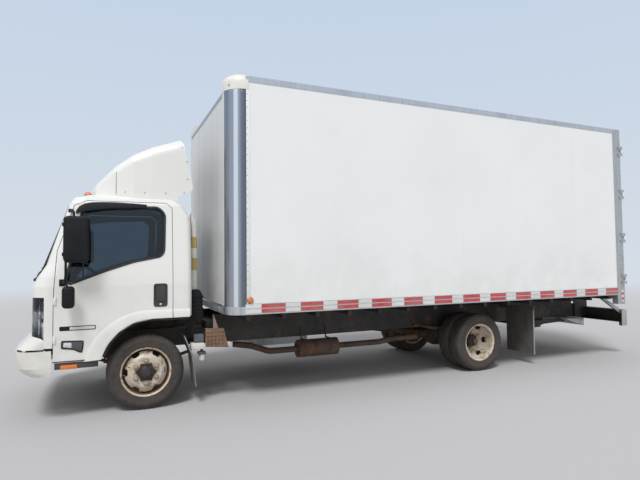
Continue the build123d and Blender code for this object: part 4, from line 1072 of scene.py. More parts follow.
def makeCornerCap(side, name):
    # the moulded cap: one rounded section carried round the corner, with a short lip each way
    piece = Piece("cornerCap_" + name, "chassis", side)
    reach, edge, low, top, lip = 0.214, 0.110, 3.498, 3.690, 0.030
    arc = (polar(edge, 90 * step / 8) for step in range(1, 9))
    outline = [(0.0, low), (reach, low), (reach, top - edge)]
    outline += [(reach - edge + r, top - edge + z) for r, z in arc]
    outline.append((0.0, top))
    turns = [(0, 0, -lip), *((90 * step / 14, 0, 0) for step in range(15)), (90, -lip, 0)]
    sections = []
    for turn, dx, dy in turns:
        around = [(*polar(radius, turn), z) for radius, z in outline]
        sections.append([piece.at(bend["x"] + dx + x, bend["y"] + dy + y, z) for x, y, z in around])
    piece.sweep(sections, "capPlastic")
    piece.block((bend["x"] - lip, bend["y"] - lip, 3.600), (bend["x"], bend["y"], top), "capPlastic", 0.0)
    # a dark disc with a raised rim where the cap has a hole: painted shade of the hole
    hole = [(0, 0), (0.013, 0), (0.013, 0.003), (0.009, 0.003), (0.009, 0.0015), (0, 0.0015)]
    head = [(0, 0), (0.008, 0), (0.006, 0.003), (0, 0.004)]
    for profile, radius, turn, z, finish, steps in (
            (hole, 0.212, 38, 3.545, "darkRubber", 20), (head, 0.2135, 12, 3.475, "railAluminium", 12),
            (head, 0.2135, 45, 3.475, "railAluminium", 12), (head, 0.2135, 78, 3.475, "railAluminium", 12)):
        dx, dy = polar(radius, turn)
        piece.spindle(profile, (bend["x"] + dx, bend["y"] + dy, z), (*polar(1, turn), 0), finish, steps)
    piece.done()


def makePostTrim(side, name):
    # the post's flat lip, the seal along the wall, a strip of front wall, and the sleeve under the cap
    piece = Piece("postTrim_" + name, "chassis", side)
    x, y = bend["x"], boxHalf - 0.012
    piece.block((x - 0.044, y, 1.112), (x - 0.004, boxHalf + 0.0012, 3.500), "boxPanel", 0.0008)
    piece.block((x - 0.004, y, 1.112), (x + 0.001, boxHalf + 0.0005, 3.500), "darkRubber", 0.0005)

    def upright(turn, low, radius, z0, z1, inset=0.0):
        around = [(*polar(r, turn), z) for r, z in plain(low, z0, radius, z1)]
        return [piece.at(x + dx, bend["y"] - inset + dy, z) for dx, dy, z in around]

    strip = [upright(0, 0.20, 0.2113, 1.082, 3.500, 0.03)]
    strip += [upright(turn, 0.20, 0.2113, 1.082, 3.500) for turn in range(0, 14, 2)]
    # the strip wears the front wall's paint with its painted shade
    piece.sweep(strip, "frontWallPaint")
    piece.sweep([upright(90 * step / 24, 0.15, 0.2108, 3.430, 3.502) for step in range(25)], "postAluminium")
    piece.done()


def makeFrontSill():
    # patterned bottom rail of the front wall: fine slanting ribs
    piece = Piece("frontSillPlate", "chassis")
    front = boxPlaces["front"]
    piece.block((front - 0.004, -1.055, 0.995), (front + 0.002, 1.055, 1.078), "railAluminium", 0.001)
    piece.block((front - 0.010, -1.055, 1.078), (front + 0.004, 1.055, 1.090), "postAluminium", 0.002)
    piece.done()
    foot = ((-0.0016, -0.030), (0.0016, -0.030), (0.0216, 0.030), (0.0184, 0.030))
    rib = unitMesh("sillRib", [(x, y, z) for x in (0, 0.0016) for y, z in foot], skinFaces(2, 4))
    rowsOf("frontSillRibs", "chassis", rib,
           [((front + 0.002, -1.040, 1.036), (0, 0.012, 0), 172, "railAluminium")])


def makeBoxLining():
    # bows under the roof, and the scuff lining along the inside of the walls
    piece = Piece("boxLining", "chassis")
    for number in range(13):
        x = -1.30 - 0.46 * number
        piece.block((x - 0.02, -1.25, 3.590), (x + 0.02, 1.25, 3.627), "railAluminium", 0.002)
    for piece.side in (-1, 1):
        for z in (1.30, 1.80, 2.30, 2.80):
            piece.block((-7.04, 1.247, z), (-1.10, 1.264, z + 0.14), "floorWood", 0.002)
    piece.done()


for side, name in sideNames:
    makeTape(side, name)
    makeRivets(side, name)
    makeCornerCap(side, name)
    makePostTrim(side, name)
makeFrontRivets()
makeFrontSill()
makeBoxLining()
print("box tape, rivets, caps and trim made")


# cab: arches, window seals, visors, handles, mirrors and lamps

windowOutline = [(0.633, 2.118), (0.326, 2.160), (-0.115, 2.176), (-0.185, 2.105), (-0.172, 1.690),
                 (-0.137, 1.640), (0.135, 1.586), (0.395, 1.499), (0.609, 1.415), (0.739, 1.364),
                 (0.774, 1.399)]
screenOutline = [(-0.880, 1.440), (0.880, 1.440), (0.800, 2.170), (-0.800, 2.170)]
arch = {"edge": (-0.052, 0.468, 0.509), "foot": (-0.012, 0.428, 0.640), "low": 0.590, "rise": 0.013,
        "doorRear": -0.260, "back": -0.462}


def flareRow(piece, degrees=90.0, x=None):
    # one cross-section of the flare, round the arch or on the straight run behind its top
    (edgeX, edgeZ), (footX, footZ) = [
        (cx + dx if x is None else x, cz + dz)
        for cx, cz, (dx, dz) in ((c[0], c[1], polar(c[2], degrees)) for c in (arch["edge"], arch["foot"]))]
    rise = arch["rise"]
    out = []
    for share, lift in ((0.0, -0.045), (0.0, rise * 0.7), (0.03, rise), (0.62, rise), (0.85, rise * 0.55),
                        (1.0, 0.0006), (1.0, -0.004), (0.1, -0.045)):
        out.append(piece.flank(edgeX + (footX - edgeX) * share, edgeZ + (footZ - edgeZ) * share, lift))
    return out


def makeFlare(side, name):
    piece = Piece("archFlare_door_" + name, "door_" + name, side)
    start = math.degrees(math.asin((arch["low"] - arch["edge"][1]) / arch["edge"][2]))
    rows = [flareRow(piece, start + (90 - start) * step / 24) for step in range(25)]
    piece.sweep([*rows, flareRow(piece, x=arch["doorRear"] + 0.002)], "cabPaint")
    piece.done()
    piece = Piece("archFlare_cab_" + name, "cab", side)
    piece.sweep([flareRow(piece, x=x) for x in (arch["doorRear"] - 0.008, arch["back"] + 0.02)], "cabPaint")
    piece.done()


def makeArchLiner(side, name):
    # black sheet inside the arch, hung from the floor
    piece = Piece("archLiner_" + name, "cab", side)
    cx, cz, r = arch["edge"]
    profile = ((-0.030, 0.984), (-0.026, 0.990), (0.012, 0.972), (0.012, 0.70), (0.006, 0.70), (0.006, 0.962))
    sections = []
    for step in range(21):
        turned = [(*polar(r + grow, 16 + 74 * step / 20), y) for grow, y in profile]
        sections.append([piece.at(cx + dx, y, cz + dz) for dx, dz, y in turned])
    sections.append([piece.at(-0.44, y, cz + r + grow) for grow, y in profile])
    piece.sweep(sections, "trimPlastic")
    for x in (-0.33, -0.06):
        piece.block((x - 0.025, 0.72, cz + r + 0.010), (x + 0.025, 0.76, 1.034), "trimPlastic", 0.002)
    piece.done()


def makeWindowTrim(side, name):
    # seal, rain visor along the top, and the bar of the quarter light
    piece = Piece("windowTrim_" + name, "door_" + name, side)
    piece.rim(piece.flank, rounded(windowOutline, 0.040, 4), 0.013, 0.009, -0.020, 0.0045, "darkRubber")
    visor = [(0.694, 2.082, 2.118), (0.664, 2.094, 2.164), (0.610, 2.110, 2.196), (0.540, 2.124, 2.210),
             (0.440, 2.140, 2.216), (0.326, 2.152, 2.218), (0.170, 2.160, 2.213), (0.004, 2.166, 2.204)]
    rows = []
    for x, low, high in visor:
        reach = 0.010 if (x, low, high) in (visor[0], visor[-1]) else 0.026
        profile = ((high, 0.002), (high - 0.004, 0.008), (low + 0.004, reach), (low, reach - 0.001),
                   (low, reach - 0.004), (high - 0.010, 0.002))
        rows.append([piece.flank(x, z, lift) for z, lift in profile])
    piece.sweep(rows, "mirrorBlack")
    quarter = [(0.612, 1.425), (0.624, 1.420), (0.640, 2.112), (0.628, 2.116)]
    piece.laid(piece.flank, quarter, -0.028, -0.010, "darkRubber")
    piece.done()


def makeDoorFittings(side, name):
    # handle, lock, bare badge place, side lamp, step, hinges, and the inside's pull and arm rest
    piece = Piece("doorFittings_" + name, "door_" + name, side)
    pocket = rounded(plain(-0.202, 1.103, -0.067, 1.344), 0.026, 4)
    piece.rim(piece.flank, pocket, 0.004, 0.010, -0.004, 0.004, "trimPlastic")
    piece.laid(piece.flank, pocket, -0.006, 0.0008, "trimPlastic")
    paddle = rounded(plain(-0.186, 1.160, -0.086, 1.332), 0.020, 4)
    piece.laid(piece.flank, paddle, 0.001, 0.016, "trimPlastic", 0.004)
    lock = [(0.013, 0), (0.012, 0.004), (0.007, 0.005)]
    piece.knob(lock, (-0.135, 1.033, 1.128), (0, 1, 0), "brightTrim", 20)
    badge = rounded(plain(0.497, 0.900, 0.827, 0.944), 0.012)
    piece.laid(piece.flank, badge, -0.004, 0.0020, "mirrorBlack", 0.0008)
    strip = rounded(plain(0.505, 0.908, 0.735, 0.936), 0.008)
    piece.laid(piece.flank, strip, -0.001, 0.0030, "badgeStrip", 0.0006)
    lamp = rounded([(0.807, 0.802), (0.607, 0.793), (0.610, 0.729), (0.621, 0.674), (0.652, 0.683),
                    (0.693, 0.708), (0.809, 0.727)], 0.012)
    piece.rim(piece.flank, lamp, 0.002, 0.010, -0.004, 0.004, "mirrorBlack")
    piece.laid(piece.flank, grown(lamp, -0.008), -0.004, 0.0056, "darkLens", 0.0015)
    reflector = rounded([(0.787, 0.784), (0.716, 0.780), (0.716, 0.729), (0.790, 0.740)], 0.010)
    piece.laid(piece.flank, reflector, -0.001, 0.0074, "clearLens", 0.0015)
    step = [(0.884, 0.602), (0.450, 0.602), (0.440, 0.592), (0.884, 0.592)]
    piece.laid(piece.flank, step, -0.040, 0.004, "darkRubber")
    for z in (0.78, 1.16):
        piece.block((0.858, 1.028, z), (0.884, 1.041, z + 0.075), "cabPaint")
    piece.block((-0.19, 0.948, 1.06), (0.80, 0.968, 1.30), "trimPlastic", 0.012)
    piece.block((0.05, 0.885, 1.225), (0.50, 0.955, 1.270), "trimPlastic", 0.014)
    piece.done()


def makeMirror(side, name):
    # two heads, each an outline drawn in by its insets at its reaches, on bent arms
    piece = Piece("mirror_" + name, "door_" + name, side)
    for outline, levels, inset, face in (
            (rounded(plain(0.556, 1.578, 0.794, 2.040), 0.055, 6),
             ((1.146, 0.008), (1.150, 0.001), (1.168, 0.000), (1.215, 0.003), (1.238, 0.009), (1.250, 0.018),
              (1.255, 0.030)), 0.016, 1.1445),
            (rounded(plain(0.686, 1.130, 0.802, 1.349), 0.045, 6),
             ((1.126, 0.006), (1.130, 0.001), (1.150, 0.000), (1.182, 0.004), (1.196, 0.012), (1.202, 0.024)),
             0.012, 1.1245)):
        sections = [[piece.at(x, y, z) for x, z in grown(outline, -drawnIn)] for y, drawnIn in levels]
        piece.sweep(sections, "mirrorBlack")
        piece.prism(grown(outline, -inset), face, face + 0.0025, "mirrorGlass", 0.0006)
    for path, radius, sides in (
            ([(0.805, 1.024, 1.380), (0.786, 1.110, 1.386), (0.772, 1.170, 1.402), (0.766, 1.200, 1.450),
              (0.766, 1.204, 1.600)], 0.012, 12),
            ([(0.774, 1.165, 1.400), (0.748, 1.165, 1.335)], 0.010, 10),
            ([(0.700, 1.200, 2.020), (0.700, 1.190, 2.075), (0.716, 1.110, 2.104), (0.742, 0.948, 2.112)],
             0.011, 12)):
        piece.tube(path, radius, "mirrorBlack", sides)
    for low, high, bevel in (((0.778, 1.012, 1.345), (0.834, 1.038, 1.414), 0.006),
                             ((0.722, 0.936, 2.094), (0.764, 0.958, 2.132), 0.005),
                             ((0.752, 1.200, 1.642), (0.800, 1.244, 1.678), 0.005),
                             ((0.752, 1.200, 1.932), (0.800, 1.244, 1.968), 0.005)):
        piece.block(low, high, "mirrorBlack", bevel)
    piece.done(["mirror_" + name])


def makeScreenParts():
    # the windscreen's seal and printed border, and two wipers
    piece = Piece("windscreenTrim", "cab")
    outline = rounded(screenOutline, 0.060, 6)
    piece.rim(piece.nose, outline, 0.014, 0.010, -0.022, 0.004, "darkRubber")
    piece.rim(piece.nose, outline, -0.008, 0.055, -0.0105, -0.0085, "screenBorder")
    piece.done()
    wiper = {"hubZ": 1.405, "kneeZ": 1.47, "tipZ": 1.535, "bladeZ": 1.515, "bladeRise": 0.05}
    for name, foot, tip, low, high in (("driver", 0.62, 0.10, 0.70, 0.06),
                                       ("passenger", -0.02, -0.56, 0.02, -0.60)):
        piece = Piece("wiper_" + name, "cab")
        base = (cabFrontX(foot, wiper["hubZ"]) + 0.012, foot, wiper["hubZ"])
        piece.knob([(0.020, -0.02), (0.018, 0.012), (0.010, 0.018)], base, (0.85, 0, 0.5), "trimPlastic", 16)
        knee, z = (foot + tip) / 2, wiper["kneeZ"]
        piece.tube([base, (cabFrontX(knee, z) + 0.030, knee, z),
                    (cabFrontX(tip, wiper["tipZ"]) + 0.022, tip, wiper["tipZ"])], 0.0065, "trimPlastic", 8)
        blade = []
        for step in range(9):
            y, z = low + (high - low) * step / 8, wiper["bladeZ"] + wiper["bladeRise"] * step / 8
            blade.append((cabFrontX(y, z) + 0.010, y, z))
        piece.tube(blade, 0.0055, "darkRubber", 6)
        piece.tube([(x + 0.010, y, z + 0.004) for x, y, z in blade[1:-1]], 0.004, "trimPlastic", 6)
        piece.done()


def makeFrontParts():
    # bare badge strip, grille bars before a dark sheet painted as the shade of the opening, panel seams, and
    # the insides of the headlamps
    piece = Piece("frontFittings", "cab")
    strip = rounded(plain(-0.40, 1.235, 0.40, 1.325), 0.015)
    piece.laid(piece.nose, strip, -0.004, 0.0035, "badgeStrip", 0.001)
    for z in (0.929, 0.989, 1.049, 1.109, 1.169):
        piece.laid(piece.nose, plain(-0.418, z, 0.418, z + 0.029), -0.012, 0.004, "cabPaint", 0.002)
    # dark sheet behind the bars: painted shade of the opening
    piece.laid(piece.nose, plain(-0.425, 0.895, 0.425, 1.195), -0.040, -0.030, "darkRubber")
    for y in (-0.636, 0.636):
        piece.laid(piece.nose, plain(y - 0.003, 0.87, y + 0.003, 1.39), -0.010, -0.002, "darkRubber")
    piece.done()
    for side, name in sideNames:
        lamp = Piece("headlampInside_" + name, "cab", side)
        for z, r in ((1.105, 0.078), (0.905, 0.070)):
            start = (cabFrontX(0.845, z) - 0.085, 0.845, z)
            bowl = [(0, -0.055), (r * 0.35, -0.052), (r * 0.75, -0.030), (r, 0.0), (r * 1.07, 0.0),
                    (r * 0.80, -0.038), (r * 0.38, -0.062), (0, -0.064)]
            lamp.spindle(bowl, start, (1, 0.12, 0), "brightTrim", 32)
            lamp.spindle([(0, -0.06), (0.014, -0.06), (0.014, -0.018), (0.008, -0.010), (0, -0.008)], start,
                         (1, 0.12, 0), "clearLens", 16)
        lamp.block((0.90, 0.67, 0.775), (0.945, 0.94, 1.225), "lampHousing", 0.01)
        lamp.block((0.93, 0.950, 1.02), (0.995, 0.985, 1.20), "greyLens", 0.01)
        lamp.block((0.93, 0.950, 0.80), (0.985, 0.985, 0.99), "brightTrim", 0.012)
        lamp.done()


def makeIntake():
    # pale intake duct with two bands and a slanting mouth, on its black ribbed cleaner
    piece = Piece("intakeDuct", "chassis")
    plan = rounded(plain(-0.482, 0.742, -0.546, 0.862), 0.022, 5)

    def level(z, grow=0.0, lean=0.0):
        return [station(x, y, z + lean * (x + 0.546)) for x, y in grown(plan, grow)]

    piece.sweep([level(1.258), level(2.030), level(2.036, lean=1.55)], "ductCream")
    # dark sheet inside the slanting mouth: painted shade of the duct's hollow
    piece.sweep([level(2.0365, -0.006, 1.55), level(2.0375, -0.006, 1.55)], "darkRubber")
    for low, high in ((1.484, 1.622), (1.737, 1.863)):
        rows = ((low, 0.0004), (low + 0.004, 0.004), (high - 0.004, 0.004), (high, 0.0004))
        piece.sweep([level(z, grow) for z, grow in rows], "ductBand")
    cleaner = [(-0.484, 0.935), (-0.606, 0.935), (-0.606, 1.200), (-0.570, 1.264), (-0.484, 1.264)]
    piece.prism(rounded(cleaner, 0.02), 0.645, 0.898, "mirrorBlack", 0.006)
    for number in range(6):
        z = 0.962 + 0.042 * number
        piece.block((-0.614, 0.638, z), (-0.478, 0.905, z + 0.014), "mirrorBlack", 0.004)
    piece.block((-0.575, 0.430, 0.915), (-0.500, 0.700, 0.936), "chassisBlack", 0.002)
    piece.block((-0.575, 0.430, 0.700), (-0.500, 0.444, 0.930), "chassisBlack", 0.002)
    piece.tube([(-0.50, 0.70, 1.12), (-0.44, 0.55, 1.10), (-0.36, 0.40, 1.02), (-0.34, 0.30, 0.94)], 0.048,
               "darkRubber", 20)
    piece.done(["air_intake"])


def makeRoofLamps():
    piece = Piece("roofMarkerLamps", "cab")
    for y in (-0.62, -0.24, 0.0, 0.24, 0.62):
        base = (0.590, y, 2.322) if abs(y) > 0.5 else (0.625, y, 2.306)
        dome = [(0, -0.012), (0.040, -0.012), (0.040, 0.006), (0.033, 0.022), (0.018, 0.032), (0, 0.035)]
        piece.spindle(dome, base, (0.1, 0, 1), "amberLens")
        piece.knob([(0.046, -0.016), (0.046, -0.004), (0.040, 0.000)], base, (0.1, 0, 1), "trimPlastic")
    piece.done()


def makeSillParts(side, name):
    # sill strip with its amber lamp, and the bright ribs of the step
    piece = Piece("sillParts_" + name, "cab", side)
    piece.block((0.470, 1.008, 0.520), (0.868, 1.022, 0.584), "trimPlastic", 0.006)
    piece.block((0.663, 1.018, 0.520), (0.815, 1.034, 0.562), "amberLens", 0.010)
    for number in range(9):
        x = 0.50 + 0.042 * number
        piece.block((x, 0.820, 0.600), (x + 0.012, 0.985, 0.604), "brightTrim", 0.001)
    piece.done()


def makeFairingParts():
    # a seam up each flank of the roof fairing and the screws along its edge, laid on the CAD surface
    piece = Piece("fairingSeams", "cab")
    mesh = nodes["roof_fairing"].data
    mesh.calc_loop_triangles()
    tree = BVHTree.FromPolygons([v.co.copy() for v in mesh.vertices],
                                [tuple(t.vertices) for t in mesh.loop_triangles])

    def landed(x, z):
        hit = tree.ray_cast(piece.at(x, 2.0, z), Vector((0, -piece.side, 0)))[0]
        return [(x, abs(hit.y), z)] if hit else []

    for piece.side in (-1, 1):
        line = [place for z in (2.32, 2.40, 2.48, 2.56, 2.62) for place in landed(0.31, z)]
        if len(line) > 1:
            piece.tube(line, 0.0025, "darkRubber", 6)
        for x, z in ((0.22, 2.345), (0.02, 2.345), (-0.20, 2.345), (-0.40, 2.36), (-0.44, 2.52),
                     (-0.43, 2.72), (-0.38, 2.88)):
            for place in landed(x, z):
                piece.spindle([(0, -0.002), (0.011, -0.002), (0.009, 0.004), (0, 0.006)], place, (0, 1, 0),
                              "brightTrim", 12)
    piece.done()


def makeBumperParts():
    # lamps in the bumper, its middle slot with two bars, and a bare plate
    piece = Piece("bumperFittings", "chassis")
    for piece.side in (-1, 1):
        start = (1.205, 0.72, 0.610)
        piece.spindle([(0, -0.05), (0.052, -0.05), (0.052, 0.004), (0.046, 0.008), (0, 0.012)], start,
                      (1, 0.06, 0), "clearLens", 28)
        cup = [(0, -0.06), (0.060, -0.06), (0.060, 0.020), (0.054, 0.020), (0.053, -0.01), (0, -0.012)]
        piece.spindle(cup, start, (1, 0.06, 0), "trimPlastic", 28)
    piece.block((1.150, -0.255, 0.563), (1.170, 0.255, 0.647), "darkRubber")
    for z in (0.585, 0.612):
        piece.block((1.170, -0.255, z), (1.215, 0.255, z + 0.010), "trimPlastic", 0.002)
    piece.block((1.262, -0.16, 0.655), (1.266, 0.16, 0.705), "plateBlank", 0.002)
    piece.done()


for side, name in sideNames:
    makeFlare(side, name)
    makeArchLiner(side, name)
    makeWindowTrim(side, name)
    makeDoorFittings(side, name)
    makeMirror(side, name)
    makeSillParts(side, name)
makeScreenParts()
makeFrontParts()
makeIntake()
makeRoofLamps()
makeFairingParts()
makeBumperParts()
print("cab pieces made")


# seats

seatSizes = {"back": -0.30, "front": 0.26, "cushionLow": 1.30, "cushionHigh": 1.412, "backrestLength": 0.56,
             "backrestDepth": 0.105, "columns": 12, "rows": 8, "channel": 0.010, "crown": 0.018,
             "drawIn": 0.012}


def padMesh(low, high):
    # a crowned pad with sewn channels across it, its sides drawn in at the seams
    columns, rows = seatSizes["columns"], seatSizes["rows"]
    shaped = bmesh.new()
    verts = {}
    for k, level in enumerate((0.0, 0.12, 0.5, 0.88, 1.0)):
        outer = k in (0, 4)
        for i in range(columns + 1):
            for j in range(rows + 1):
                if not (outer or i in (0, columns) or j in (0, rows)):
                    continue
                u, v = i / columns, j / rows
                x, y, z = (a + (b - a) * share for a, b, share in zip(low, high, (u, v, level)))
                if outer:
                    puff = seatSizes["crown"] * abs(math.sin(math.pi * u) * math.sin(math.pi * v)) ** 0.5
                    seam = seatSizes["channel"] if i % 3 == 0 and 0 < i < columns else 0.0
                    z += (puff - seam) * (1 if k == 4 else -0.3)
                    x += seatSizes["drawIn"] * {0: 1, columns: -1}.get(i, 0)
                    y += seatSizes["drawIn"] * {0: 1, rows: -1}.get(j, 0)
                verts[i, j, k] = shaped.verts.new((x, y, z))
    starts = [((i, j, k), (1, 0, 0), (0, 1, 0)) for k in (0, 4) for i in range(columns) for j in range(rows)]
    for k in range(4):
        starts += [((i, j, k), (1, 0, 0), (0, 0, 1)) for i in range(columns) for j in (0, rows)]
        starts += [((i, j, k), (0, 1, 0), (0, 0, 1)) for j in range(rows) for i in (0, columns)]
    for start, first, second in starts:
        a, b, c = Vector(start), Vector(first), Vector(second)
        corners = (a, a + b, a + b + c, a + c)
        shaped.faces.new([verts[tuple(int(n) for n in corner)] for corner in corners])
    bmesh.ops.recalc_face_normals(shaped, faces=shaped.faces)
    return shaped


def makeSeats():
    for label, y0, y1 in (("driver", 0.270, 0.770), ("passenger", -0.850, -0.060)):
        base = Piece("seatBase_" + label, "cab")
        base.block((-0.28, y0 + 0.04, 1.264), (0.22, y1 - 0.04, 1.302), "trimPlastic", 0.006)
        base.done()
        cushion = padMesh((seatSizes["back"], y0, seatSizes["cushionLow"]),
                          (seatSizes["front"], y1, seatSizes["cushionHigh"]))
        backrest = padMesh((0.0, y0, 0.0), (seatSizes["backrestLength"], y1, seatSizes["backrestDepth"]))
        for vert in backrest.verts:
            along, across, depth = vert.co
            vert.co = (-0.290 - 0.19 * along + 0.98 * depth, across, 1.400 + 0.98 * along + 0.19 * depth)
        for kind, shaped in (("cushion", cushion), ("backrest", backrest)):
            for vert in shaped.verts:
                vert.co.x += frontAxleX
            for face in shaped.faces:
                face.smooth = True
            mesh = bpy.data.meshes.new(f"seat_{label}_{kind}")
            shaped.to_mesh(mesh)
            shaped.free()
            mesh.materials.append(finishes["seatFabric"])
            pad = linked(mesh.name, mesh)
            smooth = pad.modifiers.new("smooth", "SUBSURF")
            smooth.levels = 2
            smooth.render_levels = 2
            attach(pad, "cab")
    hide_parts("seats")


# rear end


def makeRearDoorParts(side, name):
    # gasket, lock rods with their brackets and handles, and hinge straps
    piece = Piece("doorGasket_" + name, "box_door_" + name, side)
    piece.rim(piece.tail, plain(0.010, 1.064, 1.186, 3.486), 0.0, 0.022, -0.010, 0.006, "darkRubber")
    x = rearFace
    for y in (0.300, 0.860):
        for z in (1.085, 3.470):
            piece.block((x - 0.056, y - 0.034, z - 0.016), (x - 0.004, y + 0.034, z + 0.016), "galvanised")
        piece.block((x - 0.060, y - 0.26, 1.482), (x - 0.048, y - 0.02, 1.508), "galvanised", 0.004)
        piece.knob([(0.0150, 0), (0.0150, 2.403)], (x - 0.032, y, 1.076), (0, 0, 1), "galvanised", 20)
    for z in (1.240, 1.900, 2.600, 3.300):
        piece.block((x - 0.0235, 0.998, z - 0.0295), (x - 0.0010, 1.182, z + 0.0295), "galvanised")
        for y in (1.030, 1.080, 1.130):
            piece.spindle([(0, 0), (0.009, 0), (0.006, 0.005), (0, 0.006)], (x - 0.0232, y, z), (-1, 0, 0),
                          "castIron", 10)
    for y in (0.10, 0.50, 1.10):
        for z in (1.12, 3.43):
            piece.spindle([(0, 0), (0.009, 0), (0.006, 0.004), (0, 0.005)], (x, y, z), (-1, 0, 0),
                          "railAluminium", 10)
    piece.done()


def makeBoxLamps():
    # round side lamps, tail lamps, checkered corner marks, roof lamps and a bare plate
    piece = Piece("boxLamps", "chassis")
    x = rearFace
    for piece.side in (-1, 1):
        place = (-1.049, boxHalf, 1.147)
        piece.knob([(0.036, 0.0), (0.036, 0.006), (0.032, 0.009)], place, (0, 1, 0), "trimPlastic", 28)
        dome = [(0, 0.006), (0.032, 0.006), (0.031, 0.013), (0.022, 0.019), (0, 0.021)]
        piece.spindle(dome, place, (0, 1, 0), "amberLens", 28)
        piece.block((x - 0.012, 1.060, 0.945), (x, 1.190, 1.035), "trimPlastic", 0.004)
        for y0, y1, finish in ((1.062, 1.104, "clearLens"), (1.106, 1.146, "amberLens"),
                               (1.148, 1.188, "redLens")):
            piece.block((x - 0.022, y0, 0.950), (x - 0.011, y1, 1.030), finish, 0.004)
        for number in range(5):
            z = 0.870 + 0.040 * number
            finish = "tapeRed" if number % 2 else "tapeSilver"
            piece.block((x - 0.0015, 1.225, z), (x + 0.002, 1.270, z + 0.038), finish, 0.0)
            piece.block((x + 0.060, boxHalf - 0.002, z), (x + 0.110, boxHalf + 0.0015, z + 0.038), finish,
                        0.0)
    for y in (-1.15, -0.20, 0.0, 0.20, 1.15):
        piece.spindle([(0, 0.0), (0.034, 0.0), (0.034, 0.006), (0.030, 0.010), (0.020, 0.018), (0, 0.020)],
                      (x - 0.002, y, 3.580), (-1, 0, 0), "redLens")
    piece.block((x - 0.010, -0.10, 3.535), (x, 0.10, 3.545), "trimPlastic", 0.002)
    piece.block((-7.436, -0.16, 0.575), (-7.431, 0.16, 0.685), "plateBlank", 0.002)
    piece.done(["marker_lamps"])


def makeBumperEnds():
    piece = Piece("bumperEnds", "chassis")
    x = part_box("rear_bumper")[0].x - frontAxleX
    brace = [(-6.880, 0.925), (-6.960, 0.925), (x + 0.020, 0.700), (x + 0.020, 0.640), (x + 0.060, 0.640)]
    for piece.side in (-1, 1):
        piece.prism(brace, 1.1446, 1.1480, "galvanised", 0.001)
        piece.block((x, 1.1696, 0.475), (x + 0.120, 1.1740, 0.730), "galvanised", 0.0015)
    piece.done()


# under the body

airTank = {"front": -2.95, "rear": -3.62, "y": -0.560, "z": 0.560, "radius": 0.120}
railFace = 0.430


def makeAirTank():
    piece = Piece("airTank", "chassis")
    r, y, length = airTank["radius"], airTank["y"], airTank["front"] - airTank["rear"]
    end = ((0, 0), (r * 0.55, 0.012), (r * 0.85, 0.034), (r, 0.070))
    shell = [*end, *((radius, length - depth) for radius, depth in reversed(end))]
    piece.spindle(shell, (airTank["front"], y, airTank["z"]), (-1, 0, 0), "chassisBlack", 32)
    for x in (airTank["front"] - 0.16, airTank["rear"] + 0.16):
        piece.knob([(r + 0.004, 0), (r + 0.004, 0.030)], (x, y, airTank["z"]), (-1, 0, 0), "galvanised", 32)
        piece.block((x - 0.026, -0.470, 0.600), (x - 0.004, -0.429, 0.760), "chassisBlack", 0.002)
        piece.block((x - 0.026, -0.560, 0.672), (x - 0.004, -0.429, 0.690), "chassisBlack", 0.002)
    piece.done()


def makeFoldedLift():
    # the dark form under the rear overhang: hangers, tube, arms, rams and the folded wedge platform
    piece = Piece("foldedLift", "chassis")
    hanger = [(-5.990, 0.740), (-6.240, 0.740), (-6.215, 0.430), (-5.998, 0.430)]
    arm = [(-6.190, 0.560), (-6.820, 0.560), (-6.820, 0.505), (-6.190, 0.480)]
    for piece.side in (-1, 1):
        piece.prism(hanger, 0.431, 0.445, "chassisBlack", 0.002)
        piece.prism(arm, 0.468, 0.492, "chassisBlack", 0.003)
        piece.tube([(-6.190, 0.40, 0.500), (-6.560, 0.40, 0.517)], 0.032, "chassisBlack", 16)
        piece.tube([(-6.540, 0.40, 0.516), (-6.830, 0.40, 0.530)], 0.018, "brightTrim", 14)
    piece.block((-6.190, -0.560, 0.452), (-6.020, 0.560, 0.566), "chassisBlack", 0.012)
    piece.block((-6.500, -0.330, 0.444), (-6.205, 0.330, 0.560), "chassisBlack", 0.015)
    wedge = [(-6.700, 0.573), (-7.150, 0.550), (-7.150, 0.428), (-6.862, 0.499)]
    piece.prism(wedge, -0.600, 0.600, "stepSteel", 0.004)
    cheek = [(-6.715, 0.566), (-7.140, 0.545), (-7.140, 0.440), (-6.870, 0.503)]
    for piece.side in (-1, 1):
        piece.prism(cheek, 0.598, 0.606, "galvanised", 0.001)
    piece.done()


def makeFilterAndCovers():
    piece = Piece("filterAndCovers", "chassis")
    bowl = [(0.020, 0), (0.020, 0.015), (0.036, 0.018), (0.038, 0.060), (0.036, 0.085)]
    piece.knob(bowl, (-0.594, 0.900, 0.455), (0, 0, 1), "clearLens")
    piece.block((-0.636, 0.855, 0.538), (-0.552, 0.945, 0.566), "castIron", 0.006)
    piece.knob([(0.017, 0), (0.017, 0.04)], (-0.594, 0.900, 0.563), (0, 0, 1), "castIron", 16)
    piece.block((-0.612, 0.848, 0.598), (-0.470, 0.950, 0.670), "plateBlank", 0.008)
    for number in range(4):
        y = 0.856 + 0.024 * number
        piece.block((-0.610, y, 0.678), (-0.508, y + 0.010, 0.762), "filterBlue")
    piece.block((-0.575, railFace, 0.640), (-0.500, 0.870, 0.652), "chassisBlack", 0.002)
    piece.done()


def makeGuardEdges(side, name):
    # pale edges of the flaps, and the bar the rear flap hangs from
    piece = Piece("flapEdges_" + name, "chassis", side)
    edge = [(-0.389, 0.757), (-0.471, 0.541), (-0.512, 0.198), (-0.518, 0.198), (-0.477, 0.545),
            (-0.394, 0.762)]
    piece.prism(edge, 0.998, 1.003, "flapEdge", 0.001)
    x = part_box("mud_guards")[0].x - frontAxleX
    piece.block((x + 0.016, 1.088, 0.152), (x + 0.034, 1.103, 0.800), "flapEdge", 0.002)
    piece.block((x + 0.012, 0.58, 0.795), (x + 0.018, 1.09, 0.850), "galvanised", 0.001)
    piece.done()


